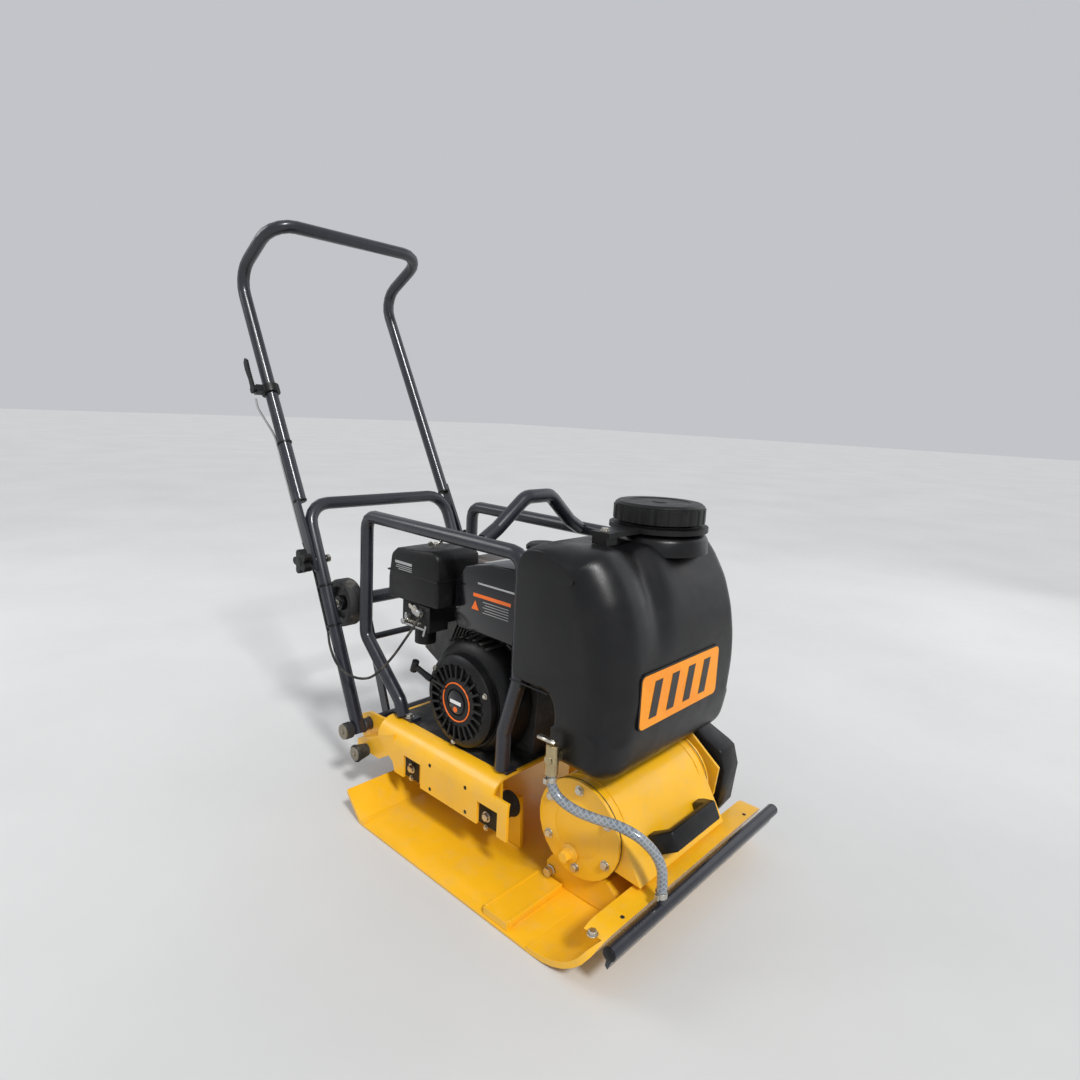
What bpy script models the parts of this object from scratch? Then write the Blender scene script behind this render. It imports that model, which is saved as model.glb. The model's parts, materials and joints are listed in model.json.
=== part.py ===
"""Plate compactor with a petrol engine, a water tank and a folding handle.

Blender 4.5, metres, +Z up. The machine travels towards -Y, the operator walks behind it at +Y,
the recoil starter is on the -X side and the belt drive on the +X side.
The origin is the middle of the flat contact face of the base plate, on the ground.
Lengths are written in millimetres and turned into metres as each mesh is made.
"""
import math

import bmesh
import bpy
from mathutils import Matrix, Vector

MM = 0.001
GAP = 0.3                      # clearance between touching pieces
TUBE_SIDES = 10

# base plate
PLATE_HALF = 250.0
PLATE_THICK = 9.0
FLAT_FRONT = -190.0
FLAT_REAR = 190.0
CURL_START = -240.0
CURL_RADIUS = 115.0
CURL_ANGLE = math.radians(60)
LEDGE_TOP = 82.0
LEDGE_FRONT = -352.0
LEDGE_REAR = -314.0
LEDGE_THICK = 6.0
LEDGE_CORNER = 40.0
RAMP_TOP = (232.0, 50.0)

# exciter
SHAFT_Y = -218.0
SHAFT_Z = 132.0
HOUSING_RADIUS = 76.0
HOUSING_HALF = 124.0
BORE_RADIUS = 62.0
COVER_RADIUS = 78.0
COVER_THICK = 8.0
HOOD_FOOT = (-332.0, 89.0)

# deck
DECK_HALF = 178.0
DECK_TOP = 165.0
DECK_THICK = 5.0
DECK_FRONT = -76.0
DECK_REAR = 240.0
DECK_CORNER = 34.0
SKIRT_BOTTOM = 78.0
SKIRT_FRONT = -112.0
MOUNT_Y = (-44.0, 165.0)
MOUNT_Z = 84.0
MOUNT_RADIUS = 24.0
LUG_X = 98.0
HANGER_X = 146.0

# engine
CRANK_Y = 50.0
CRANK_Z = 253.0
RECOIL_RADIUS = 82.0
BELT_X = 181.0
CLUTCH_RADIUS = 55.0
PULLEY_RADIUS = 36.0

# tube frames
GUARD_X = 140.0
GUARD_RADIUS = 13.0
GUARD_TOP = 543.0
GUARD_REAR = 341.0
POST_Y = -88.0                 # front posts, in grooves at the back of the water tank
POST_FOOT_Y = -60.0
LEG_X = 183.0
LEG_RADIUS = 13.5
HANDLE_PIVOT = (300.0, 128.0)
LEG_SLOPE = 0.47
CROSSBAR_Z = 548.0
UPPER_X = 193.0
UPPER_SLOPE = 0.552
FOLD_PIVOT = (444.0, 441.0)
KINK_Z = 1031.0
HANDLE_BAR = (618.0, 1121.0)

# wheels
CARRIAGE_PIVOT = (330.0, 101.0)
WHEEL_X = 136.0
WHEEL_Y = 425.0
WHEEL_Z = 347.0
WHEEL_RADIUS = 50.0
WHEEL_WIDTH = 36.0

# water tank
TANK_X = (-168.0, 186.0)
TANK_WALL = 4.0
TANK_TOP = 566.0
CAP_X = 75.0
CAP_Y = -190.0
NECK_RADIUS = 66.0
NECK_BORE = 58.0
CAP_RADIUS = 76.0

# throttle
CLAMP_Z = 779.0


# ---------------------------------------------------------------- materials

def material(name, colour, roughness, metallic=0.0):
    mat = bpy.data.materials.new(name)
    mat.use_nodes = True
    shader = mat.node_tree.nodes["Principled BSDF"]
    shader.inputs["Base Color"].default_value = (*colour, 1.0)
    shader.inputs["Roughness"].default_value = roughness
    shader.inputs["Metallic"].default_value = metallic
    mat.diffuse_color = (*colour, 1.0)
    return mat


def yellow(name):
    return material(name, (0.86, 0.53, 0.03), 0.4)


def frame_paint(name):
    return material(name, (0.045, 0.045, 0.055), 0.35, 0.2)


def black_plastic(name):
    return material(name, (0.012, 0.012, 0.013), 0.42)


def rubber(name):
    return material(name, (0.02, 0.02, 0.02), 0.8)


def cast_metal(name):
    return material(name, (0.35, 0.35, 0.36), 0.5, 0.9)


def zinc(name):
    return material(name, (0.62, 0.6, 0.55), 0.35, 1.0)


# ---------------------------------------------------------------- mesh tools

def axis_frame(axis):
    """Matrix whose columns carry (u, v, along) of a flat outline into world axes."""
    if axis == "x":
        return Matrix(((0, 0, 1), (1, 0, 0), (0, 1, 0)))
    if axis == "y":
        return Matrix(((1, 0, 0), (0, 0, -1), (0, 1, 0)))
    return Matrix(((1, 0, 0), (0, 1, 0), (0, 0, 1)))


def prism(outline, low, high, axis="x"):
    """Solid of a flat outline. The outline is (y, z) along x, (x, z) along y and (x, y) along z."""
    bm = bmesh.new()
    turn = axis_frame(axis)
    sign = -1.0 if axis == "y" else 1.0
    verts = [bm.verts.new(turn @ Vector((u, v, sign * low))) for u, v in outline]
    face = bm.faces.new(verts)
    grown = bmesh.ops.extrude_face_region(bm, geom=[face])["geom"]
    moved = [g for g in grown if isinstance(g, bmesh.types.BMVert)]
    bmesh.ops.translate(bm, verts=moved, vec=turn @ Vector((0, 0, sign * (high - low))))
    bmesh.ops.recalc_face_normals(bm, faces=bm.faces)
    return bm


def block(low, high):
    return prism([(low[0], low[1]), (high[0], low[1]), (high[0], high[1]), (low[0], high[1])],
                 low[2], high[2], "z")


def turned(profile, centre, axis="x", sides=20):
    """Solid of revolution. The closed profile is (radius, along); radius 0 lies on the axis."""
    bm = bmesh.new()
    turn = axis_frame(axis)
    sign = -1.0 if axis == "y" else 1.0
    rings = []
    for radius, along in profile:
        if radius < 1e-6:
            rings.append([bm.verts.new(Vector(centre) + turn @ Vector((0, 0, sign * along)))])
            continue
        ring = []
        for step in range(sides):
            angle = math.tau * step / sides
            spot = Vector((radius * math.cos(angle), radius * math.sin(angle), sign * along))
            ring.append(bm.verts.new(Vector(centre) + turn @ spot))
        rings.append(ring)
    pairs = list(zip(rings, rings[1:]))
    if len(rings[0]) > 1 or len(rings[-1]) > 1:
        pairs.append((rings[-1], rings[0]))
    for first, second in pairs:
        for step in range(sides):
            after = (step + 1) % sides
            if len(first) == 1 and len(second) == 1:
                break
            if len(first) == 1:
                bm.faces.new((first[0], second[after], second[step]))
            elif len(second) == 1:
                bm.faces.new((first[step], first[after], second[0]))
            else:
                bm.faces.new((first[step], first[after], second[after], second[step]))
    bmesh.ops.recalc_face_normals(bm, faces=bm.faces)
    return bm


def rod(radius, low, high, centre, axis="x", sides=16):
    return turned([(0, low), (radius, low), (radius, high), (0, high)], centre, axis, sides)


def ring(outer, inner, low, high, centre, axis="x", sides=24):
    return turned([(inner, low), (outer, low), (outer, high), (inner, high)], centre, axis, sides)


def swept(path, radius, sides=TUBE_SIDES):
    """Closed round bar along a list of points, with square ends."""
    points = [Vector(p) for p in path]
    bm = bmesh.new()
    side = None
    rings = []
    for place, point in enumerate(points):
        before = points[max(place - 1, 0)]
        after = points[min(place + 1, len(points) - 1)]
        along = (after - before).normalized()
        if side is None:
            side = along.orthogonal().normalized()
        side = (side - along * side.dot(along)).normalized()
        up = along.cross(side)
        ring_verts = []
        for step in range(sides):
            angle = math.tau * (step + 0.5) / sides
            ring_verts.append(bm.verts.new(point + radius * (math.cos(angle) * side
                                                             + math.sin(angle) * up)))
        rings.append(ring_verts)
    for first, second in zip(rings, rings[1:]):
        for step in range(sides):
            after = (step + 1) % sides
            bm.faces.new((first[step], first[after], second[after], second[step]))
    bm.faces.new(list(reversed(rings[0])))
    bm.faces.new(rings[-1])
    bmesh.ops.recalc_face_normals(bm, faces=bm.faces)
    return bm


def rounded_path(corners, radius, steps=6):
    """Points along straight runs joined by arcs of one radius."""
    points = [Vector(c) for c in corners]
    path = [points[0]]
    for before, corner, after in zip(points, points[1:], points[2:]):
        come = (before - corner).normalized()
        leave = (after - corner).normalized()
        opening = math.acos(max(-1.0, min(1.0, come.dot(leave))))
        reach = radius / math.tan(opening / 2)
        middle = (come + leave).normalized()
        centre = corner + middle * (radius / math.sin(opening / 2))
        start = corner + come * reach - centre
        end = corner + leave * reach - centre
        for step in range(steps + 1):
            part = step / steps
            turn = (math.pi - opening) * part
            full = math.pi - opening
            spot = (math.sin(full - turn) * start + math.sin(turn) * end) / math.sin(full)
            path.append(centre + spot)
    path.append(points[-1])
    return path


def smooth_route(stations, per_span=4):
    """Catmull-Rom points through a hand-made route."""
    points = [Vector(s) for s in stations]
    padded = [2 * points[0] - points[1]] + points + [2 * points[-1] - points[-2]]
    route = []
    for a, b, c, d in zip(padded, padded[1:], padded[2:], padded[3:]):
        for step in range(per_span):
            t = step / per_span
            route.append(0.5 * (2 * b + (c - a) * t + (2 * a - 5 * b + 4 * c - d) * t * t
                                + (3 * b - 3 * c + d - a) * t ** 3))
    route.append(points[-1])
    return route


def bevelled(bm, width, segments=2, angle=40.0):
    sharp = [e for e in bm.edges if len(e.link_faces) == 2
             and e.calc_face_angle() > math.radians(angle)]
    bmesh.ops.bevel(bm, geom=sharp, offset=width, segments=segments, profile=0.5,
                    affect="EDGES", clamp_overlap=True)
    return bm


def scratch_object(bm):
    mesh = bpy.data.meshes.new("scratch")
    bm.to_mesh(mesh)
    bm.free()
    obj = bpy.data.objects.new("scratch", mesh)
    bpy.context.scene.collection.objects.link(obj)
    return obj


def combined(base, tool, operation):
    """Exact boolean of two closed meshes."""
    target = scratch_object(base)
    cutter = scratch_object(tool)
    step = target.modifiers.new("combine", "BOOLEAN")
    step.operation = operation
    step.solver = "EXACT"
    step.object = cutter
    bpy.context.view_layer.update()
    shaped = target.evaluated_get(bpy.context.evaluated_depsgraph_get())
    result = bmesh.new()
    result.from_mesh(shaped.data)
    bpy.data.objects.remove(target)
    bpy.data.objects.remove(cutter)
    bmesh.ops.remove_doubles(result, verts=result.verts, dist=0.002)
    bmesh.ops.dissolve_degenerate(result, edges=result.edges, dist=0.002)
    return result


def joined(base, *tools):
    for tool in tools:
        base = combined(base, tool, "UNION")
    return base


def cut(base, *tools):
    for tool in tools:
        base = combined(base, tool, "DIFFERENCE")
    return base


def piece(name, bm, mat, origin=(0, 0, 0), parent=None, smooth=True):
    """Named object from a mesh in millimetres, with its origin at a chosen point."""
    bmesh.ops.translate(bm, verts=bm.verts, vec=-Vector(origin))
    bmesh.ops.scale(bm, vec=(MM, MM, MM), verts=bm.verts)
    mesh = bpy.data.meshes.new(name)
    bm.to_mesh(mesh)
    bm.free()
    mesh.materials.append(mat)
    obj = bpy.data.objects.new(name, mesh)
    bpy.context.scene.collection.objects.link(obj)
    place = Vector(origin) * MM
    if parent is not None:
        obj.parent = parent
        place = place - parent_point(parent)
    obj.location = place
    if smooth:
        mesh.shade_smooth()
        mesh.set_sharp_from_angle(angle=math.radians(35))
    return obj


def parent_point(parent):
    point = Vector(parent.location)
    while parent.parent is not None:
        parent = parent.parent
        point = point + Vector(parent.location)
    return point


def joint_empty(name, point, parent=None):
    empty = bpy.data.objects.new(name, None)
    bpy.context.scene.collection.objects.link(empty)
    place = Vector(point) * MM
    if parent is not None:
        empty.parent = parent
        place = place - parent_point(parent)
    empty.location = place
    return empty


def cord(name, route, radius, mat, parent=None):
    """Round cord as a curve with filled ends, on a poly spline."""
    curve = bpy.data.curves.new(name, "CURVE")
    curve.dimensions = "3D"
    curve.bevel_depth = radius * MM
    curve.bevel_resolution = 2
    curve.use_fill_caps = True
    spline = curve.splines.new("POLY")
    spline.points.add(len(route) - 1)
    base = parent_point(parent) if parent is not None else Vector((0, 0, 0))
    for point, spot in zip(spline.points, route):
        point.co = (*(Vector(spot) * MM - base), 1.0)
    curve.materials.append(mat)
    obj = bpy.data.objects.new(name, curve)
    bpy.context.scene.collection.objects.link(obj)
    obj.parent = parent
    return obj


def leg_y(z):
    """Centre line of the lower handle legs."""
    return HANDLE_PIVOT[0] + LEG_SLOPE * (z - HANDLE_PIVOT[1])


def upper_y(z):
    """Centre line of the upper handle legs."""
    return FOLD_PIVOT[0] + UPPER_SLOPE * (z - FOLD_PIVOT[1])


# ---------------------------------------------------------------- base and exciter

def plate_section():
    """(y, z) outline of the base plate: rear ramp, flat sole and curled front with a ledge."""
    under = [(RAMP_TOP[0], RAMP_TOP[1] - 8), (FLAT_REAR, 0), (CURL_START, 0)]
    over = []
    for step in range(1, 7):
        angle = CURL_ANGLE * step / 6
        under.append((CURL_START - CURL_RADIUS * math.sin(angle),
                      CURL_RADIUS - CURL_RADIUS * math.cos(angle)))
        inner = CURL_RADIUS - PLATE_THICK
        over.append((CURL_START - inner * math.sin(angle), CURL_RADIUS - inner * math.cos(angle)))
    under.append((LEDGE_FRONT, LEDGE_TOP))
    over.append((LEDGE_FRONT + 8, LEDGE_TOP - LEDGE_THICK))
    over = [(LEDGE_REAR, LEDGE_TOP), (LEDGE_REAR, LEDGE_TOP - LEDGE_THICK)] + list(reversed(over))
    over += [(CURL_START, PLATE_THICK), (FLAT_REAR - 3, PLATE_THICK), RAMP_TOP]
    return under + over


def make_base_plate():
    body = prism(plate_section(), -PLATE_HALF, PLATE_HALF)
    for side in (-1, 1):
        corner = [(side * 300, LEDGE_TOP + 40), (side * 300, 48), (side * PLATE_HALF, 48)]
        for step in range(7):
            angle = math.pi / 2 * step / 6
            corner.append((side * (PLATE_HALF - LEDGE_CORNER + LEDGE_CORNER * math.cos(angle)),
                           LEDGE_TOP - LEDGE_CORNER + LEDGE_CORNER * math.sin(angle)))
        corner.append((side * (PLATE_HALF - LEDGE_CORNER), LEDGE_TOP + 40))
        body = cut(body, prism(corner, -400, LEDGE_REAR + 20, "y"))
        bevel = [(side * 225, PLATE_THICK + 0.01), (side * 252, 4), (side * 252, 30), (side * 225, 30)]
        body = cut(body, prism(bevel, FLAT_FRONT - 40, FLAT_REAR - 15, "y"))
        low, high = sorted((side * LUG_X, side * (LUG_X - 8)))
        for y in MOUNT_Y:
            lug = [(y - 27, PLATE_THICK - 1), (y + 27, PLATE_THICK - 1), (y + 22, MOUNT_Z + 20),
                   (y - 22, MOUNT_Z + 20)]
            body = joined(body, prism(lug, low, high))
    pedestal = prism([(-288, 12), (-150, 8), (-150, 40), (-166, 62), (-270, 62), (-302, 34)],
                     -HOUSING_HALF + 6, HOUSING_HALF - 6)
    trough = block((-248, -188, 5), (-HOUSING_HALF + 2, -138, 18))
    body = joined(body, trough, pedestal)
    return cut(body, rod(HOUSING_RADIUS + GAP, -140, 140, (0, SHAFT_Y, SHAFT_Z), "x", 48))


def hood_outline(radius):
    """(y, z) outline of the exciter tube with a straight hood down to the ledge."""
    reach = Vector((SHAFT_Y - HOOD_FOOT[0], SHAFT_Z - HOOD_FOOT[1]))
    rise = math.atan2(reach.y, reach.x)
    half = math.asin(radius / reach.length)
    touch = math.pi / 2 + rise + half
    points = [HOOD_FOOT]
    for step in range(25):
        angle = touch - step * (math.radians(298) / 24)
        points.append((SHAFT_Y + radius * math.cos(angle), SHAFT_Z + radius * math.sin(angle)))
    return points


def make_exciter_housing():
    body = prism(hood_outline(HOUSING_RADIUS), -HOUSING_HALF, HOUSING_HALF)
    bore = rod(BORE_RADIUS, -150, 150, (0, SHAFT_Y, SHAFT_Z), "x", 32)
    body = cut(body, bore)
    clear = block((-150, -345, 40), (150, -245, LEDGE_TOP + GAP))
    return cut(body, clear)


def make_exciter_cover(side):
    inner = side * (HOUSING_HALF + GAP)
    outer = side * (HOUSING_HALF + COVER_THICK)
    spigot = side * (HOUSING_HALF - 10)
    shaft_hole = 16.3 if side > 0 else 0
    profile = [(shaft_hole, spigot), (BORE_RADIUS - GAP, spigot), (BORE_RADIUS - GAP, inner),
               (COVER_RADIUS, inner), (COVER_RADIUS, outer), (shaft_hole, outer)]
    return turned(profile, (0, SHAFT_Y, SHAFT_Z), "x", 28)


def make_exciter():
    paint = yellow("yellow_paint_exciter")
    piece("exciter_housing", make_exciter_housing(), paint, (0, SHAFT_Y, SHAFT_Z))
    for side, label in ((-1, "left"), (1, "right")):
        edge = side * (HOUSING_HALF + COVER_THICK)
        piece(f"exciter_cover_{label}", make_exciter_cover(side), yellow(f"yellow_paint_{label}"),
              (edge, SHAFT_Y, SHAFT_Z))
        seat = side * (HOUSING_HALF - 10 - GAP)
        low, high = sorted((seat, seat - side * 18))
        piece(f"bearing_{label}", ring(BORE_RADIUS - GAP, 17.2, low, high, (0, SHAFT_Y, SHAFT_Z)),
              zinc(f"bearing_steel_{label}"), (seat, SHAFT_Y, SHAFT_Z))
    face = -(HOUSING_HALF + COVER_THICK) - GAP
    spot = (face, SHAFT_Y + 10, SHAFT_Z - 44)
    plug = turned([(0, 0), (15, 0), (15, -4), (11, -5), (11, -9), (0, -9)], spot, "x", 24)
    plug = joined(plug, turned([(0, -8), (9.5, -8), (9.5, -19), (0, -19)], spot, "x", 6))
    piece("oil_plug", plug, yellow("yellow_paint_plug"), spot)
    drain = (-HOUSING_HALF + 6 - GAP, -160, 27)
    piece("drain_bolt", turned([(0, 0), (10, 0), (10, -3), (8, -3), (8, -12), (0, -12)],
                               drain, "x", 6), zinc("zinc_drain"), drain)
    spin = joint_empty("exciter_axis", (0, SHAFT_Y, SHAFT_Z))
    shaft = turned([(0, -112), (17, -112), (17, -82), (24, -82), (24, 82), (17, 82), (17, 113),
                    (16, 113), (16, 200), (0, 200)], (0, SHAFT_Y, SHAFT_Z), "x", 24)
    weight = [(SHAFT_Y + 54 * math.cos(math.pi * (1 + k / 14)),
               SHAFT_Z + 54 * math.sin(math.pi * (1 + k / 14))) for k in range(15)]
    shaft = joined(shaft, prism(weight, -70, 70))
    piece("eccentric_shaft", shaft, cast_metal("eccentric_iron"), (0, SHAFT_Y, SHAFT_Z), spin)
    groove = [(16 + GAP, -16), (PULLEY_RADIUS + 8, -16), (PULLEY_RADIUS + 8, -12),
              (PULLEY_RADIUS - 6, -5), (PULLEY_RADIUS - 6, 5), (PULLEY_RADIUS + 8, 12),
              (PULLEY_RADIUS + 8, 16), (16 + GAP, 16)]
    piece("exciter_pulley", turned(groove, (BELT_X, SHAFT_Y, SHAFT_Z), "x", 32),
          cast_metal("pulley_iron"), (BELT_X, SHAFT_Y, SHAFT_Z), spin)


# ---------------------------------------------------------------- deck

def deck_section():
    """(x, z) outline of the folded deck plate: flat top, big corner radius, straight skirt."""
    outer = []
    inner = []
    for step in range(7):
        angle = math.pi / 2 * step / 6
        for radius, points in ((DECK_CORNER, outer), (DECK_CORNER - DECK_THICK, inner)):
            points.append((DECK_HALF - DECK_CORNER + radius * math.sin(angle),
                           DECK_TOP - DECK_CORNER + radius * math.cos(angle)))
    outer.append((DECK_HALF, SKIRT_BOTTOM))
    inner.append((DECK_HALF - DECK_THICK, SKIRT_BOTTOM))
    right = outer + list(reversed(inner))
    left = [(-x, z) for x, z in reversed(right)]
    return right + left


def make_deck():
    section = deck_section()
    body = prism(section, SKIRT_FRONT, DECK_REAR, "y")
    body = cut(body, block((-150, SKIRT_FRONT - 5, 100), (150, DECK_FRONT, 200)))
    for side in (-1, 1):
        low, high = sorted((side * 140, side * 200))
        body = cut(body, block((low, SKIRT_FRONT - 5, 142), (high, DECK_FRONT, 200)))
        body = cut(body, block((low, -90, 60), (high, -42, 119)))
        body = cut(body, block((low, 108, 60), (high, 158, 122)))
        tail = [(178, 60), (192, 96), (214, 108), (DECK_REAR + 5, 108), (DECK_REAR + 5, 60)]
        body = cut(body, prism(tail, low, high))
        for y in MOUNT_Y:
            near, far = sorted((side * HANGER_X, side * (HANGER_X + 6)))
            body = joined(body, block((near, y - 26, MOUNT_Z - 22), (far, y + 26, DECK_TOP - 2)))
        ear_low, ear_high = sorted((side * 150, side * 156))
        ear = [(190, 118), (250, 90), (322, 86), (326, 140), (300, 152), (262, 153), (190, 162)]
        hole = rod(13.2, ear_low - 5, ear_high + 5, (0, *HANDLE_PIVOT), "x", 24)
        body = joined(body, cut(prism(ear, ear_low, ear_high), hole))
        out_low, out_high = sorted((side * 173, side * 178))
        fin = [(190, 112), (236, 84), (308, 84), (308, 100), (190, 150)]
        body = joined(body, prism(fin, out_low, out_high))
        top_low, top_high = sorted((side * 152, side * 178))
        shelf = [(190, 150), (308, 100), (308, 95), (190, 145)]
        body = joined(body, prism(shelf, top_low, top_high))
    belt_bay = block((153, SKIRT_FRONT - 5, 60), (200, 92, 200))
    body = cut(body, belt_bay)
    rear = block((-152, DECK_REAR - 20, 80), (152, DECK_REAR - 14, DECK_TOP - 2))
    body = joined(body, rear)
    for x in (-70, 64):
        lug = [(DECK_REAR - 16, 86), (330, 84), (344, 96), (344, 106), (334, 113),
               (DECK_REAR - 16, 113)]
        hole = rod(8.2, x - 5, x + 12, (0, *CARRIAGE_PIVOT), "x", 20)
        body = joined(body, cut(prism(lug, x, x + 6), hole))
    return body


def make_mounts():
    for y, row in zip(MOUNT_Y, ("front", "rear")):
        for side, label in ((-1, "left"), (1, "right")):
            low, high = sorted((side * (LUG_X + GAP), side * (HANGER_X - GAP)))
            waist = [(0, low), (MOUNT_RADIUS, low), (MOUNT_RADIUS - 4, low + 8),
                     (MOUNT_RADIUS - 4, high - 8), (MOUNT_RADIUS, high), (0, high)]
            piece(f"rubber_mount_{row}_{label}", turned(waist, (0, y, MOUNT_Z), "x", 24),
                  rubber(f"rubber_{row}_{label}"), (side * 122, y, MOUNT_Z))


# ---------------------------------------------------------------- guard frame

def guard_corners(side):
    x = side * GUARD_X
    return [(x, 212, DECK_TOP + GAP + 5), (x, 222, 196), (x, GUARD_REAR, 300),
            (x, GUARD_REAR, GUARD_TOP), (x, POST_Y, GUARD_TOP - 4), (x, POST_Y, 330),
            (x, POST_FOOT_Y, 236), (x, POST_FOOT_Y, DECK_TOP + GAP + 5)]


def make_guard():
    for side, label in ((-1, "left"), (1, "right")):
        body = swept(rounded_path(guard_corners(side), 26, 4), GUARD_RADIUS)
        x = side * GUARD_X
        low, high = sorted((side * (GUARD_X - 20), side * (GUARD_X + 4)))
        rear_foot = block((low, 182, DECK_TOP + GAP), (high, 238, 171))
        front_foot = block((low, POST_FOOT_Y - 15, DECK_TOP + GAP), (high, POST_FOOT_Y + 16, 171))
        body = joined(body, rear_foot, front_foot)
        piece(f"guard_tube_{label}", body, frame_paint(f"frame_paint_{label}"), (x, 212, DECK_TOP))
    reach = GUARD_X - GUARD_RADIUS - GAP
    stem = [(-reach, 20, GUARD_TOP), (-96, 20, 560), (-32, 16, 612), (32, 16, 612),
            (96, 20, 560), (reach, 20, GUARD_TOP)]
    arch = swept(rounded_path(stem, 32, 3), GUARD_RADIUS)
    piece("lifting_arch", arch, frame_paint("frame_paint_arch"), (0, 16, 612))


# ---------------------------------------------------------------- engine

def make_engine():
    low_block = block((-60, -55, DECK_TOP + GAP), (92, 128, 181))
    case = prism([(-62, 180), (118, 180), (122, 236), (108, 320), (40, 346), (-40, 340),
                  (-66, 300)], -66, 84)
    case = cut(joined(low_block, case), rod(13, -80, 100, (0, CRANK_Y, CRANK_Z), "x", 24))
    piece("crankcase", case, cast_metal("crankcase_alloy"), (0, CRANK_Y, DECK_TOP))
    tilt = math.radians(25)
    run = Vector((math.cos(tilt), math.sin(tilt)))
    across = Vector((-run.y, run.x))
    start = Vector((122.6, 282.0))

    def along(distance, offset):
        spot = start + run * distance + across * offset
        return (spot.x, spot.y)
    barrel = [along(12, -56), along(60, -56), along(60, -64), along(122, -64), along(122, 64),
              along(60, 64), along(60, 50), along(12, 50)]
    cylinder = prism(barrel, -52, 62)
    piece("cylinder_head", cylinder, cast_metal("cylinder_alloy"), (0, 180, 300))
    disc = turned([(15, -66 - GAP), (104, -66 - GAP), (108, -74), (108, -104), (96, -122),
                   (86, -126), (86, -129), (70, -129), (70, -110), (98, -100), (98, -72),
                   (15, -72)], (0, CRANK_Y, CRANK_Z), "x", 28)
    disc = cut(disc, block((-140, -70, 100), (-60, 170, DECK_TOP + 6)))
    piece("fan_housing", disc, black_plastic("fan_housing_black"), (-129, CRANK_Y, CRANK_Z))
    cover = turned([(0, -146), (30, -148), (34, -150), (70, -149), (RECOIL_RADIUS, -143),
                    (RECOIL_RADIUS, -129 - GAP), (74, -129 - GAP), (70, -144), (0, -142)],
                   (0, CRANK_Y, CRANK_Z), "x", 32)
    for step in range(12):
        angle = math.tau * step / 12
        bar = block((-160, -2.4, 46), (-120, 2.4, 66))
        bmesh.ops.rotate(bar, verts=bar.verts, cent=(0, 0, 0),
                         matrix=Matrix.Rotation(angle, 3, "X"))
        bmesh.ops.translate(bar, verts=bar.verts, vec=(0, CRANK_Y, CRANK_Z))
        cover = cut(cover, bar)
    piece("recoil_cover", cover, black_plastic("recoil_black"), (-143, CRANK_Y, CRANK_Z))
    tank = prism([(-84, 386), (-76, 377), (80, 377), (92, 392), (90, 462), (70, 490), (0, 506),
                  (-84, 506)], -126, 116)
    tank = bevelled(tank, 8, 2)
    room = prism([(-78, 383), (74, 383), (84, 396), (82, 458), (66, 484), (0, 499), (-78, 499)],
                 -119, 109)
    tank = cut(tank, room, rod(22, 480, 530, (-6, -10, 0), "z", 20))
    tank = joined(tank, ring(26, 22, 500, 514, (-6, -10, 0), "z", 20))
    piece("fuel_tank", tank, black_plastic("fuel_tank_black"), (-6, -10, 377))
    cap = turned([(0, 515), (28, 515), (31, 519), (31, 528), (27, 531), (0, 531)],
                 (-6, -10, 0), "z", 24)
    cap_axis = joint_empty("fuel_cap_axis", (-6, -10, 515))
    piece("fuel_cap", cap, black_plastic("fuel_cap_black"), (-6, -10, 515), cap_axis)
    filter_side = [(108, 404), (256, 400), (256, 440), (248, 486), (234, 497), (126, 508),
                   (112, 496)]
    cleaner = bevelled(prism(filter_side, -150, -46), 7, 2)
    piece("air_cleaner", cleaner, black_plastic("air_cleaner_black"), (-98, 182, 400))
    carb = joined(block((-140, 140, 352), (-96, 220, 399.7)), rod(20, 322, 356, (-116, 180, 0), "z", 20),
                  block((-96.5, 152, 360), (-60, 214, 392)))
    piece("carburettor", carb, cast_metal("carburettor_alloy"), (-116, 180, 360))
    muffler = bevelled(block((64, 150, 352), (136, 262, 452)), 9, 2)
    piece("muffler", muffler, material("muffler_steel", (0.1, 0.1, 0.1), 0.5, 0.8), (100, 205, 400))
    grip_low = Vector((-161, 104, 281))
    grip = turned([(0, 0), (9, 0), (10, 6), (10, 36), (12, 44), (12, 58), (9, 64), (0, 64)],
                  (0, 0, 0), "z", 16)
    pull = Vector((-0.12, 0.93, 0.32)).normalized()
    lean = Vector((0, 0, 1)).rotation_difference(pull).to_matrix()
    bmesh.ops.rotate(grip, verts=grip.verts, cent=(0, 0, 0), matrix=lean)
    bmesh.ops.translate(grip, verts=grip.verts, vec=grip_low)
    pull_axis = joint_empty("recoil_pull", grip_low)
    piece("recoil_grip", grip, black_plastic("grip_black"), grip_low, pull_axis)


def make_crank():
    spin = joint_empty("crank_axis", (0, CRANK_Y, CRANK_Z))
    centre = (0, CRANK_Y, CRANK_Z)
    shaft = turned([(0, -100), (12, -100), (12, 190), (0, 190)], centre, "x", 24)
    piece("crankshaft", shaft, cast_metal("crank_steel"), centre, spin)
    wheel = turned([(12 + GAP, -98), (20, -98), (60, -92), (88, -92), (88, -84), (60, -80),
                    (12 + GAP, -80)], centre, "x", 32)
    piece("flywheel", wheel, cast_metal("flywheel_alloy"), centre, spin)
    drum = turned([(12 + GAP, 118), (62, 118), (62, 160), (52, 168), (52, 172),
                   (CLUTCH_RADIUS - 12, 177), (CLUTCH_RADIUS - 12, 185), (52, 190), (52, 194),
                   (12 + GAP, 194)], centre, "x", 24)
    piece("clutch_drum", drum, cast_metal("clutch_steel"), centre, spin)


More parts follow.
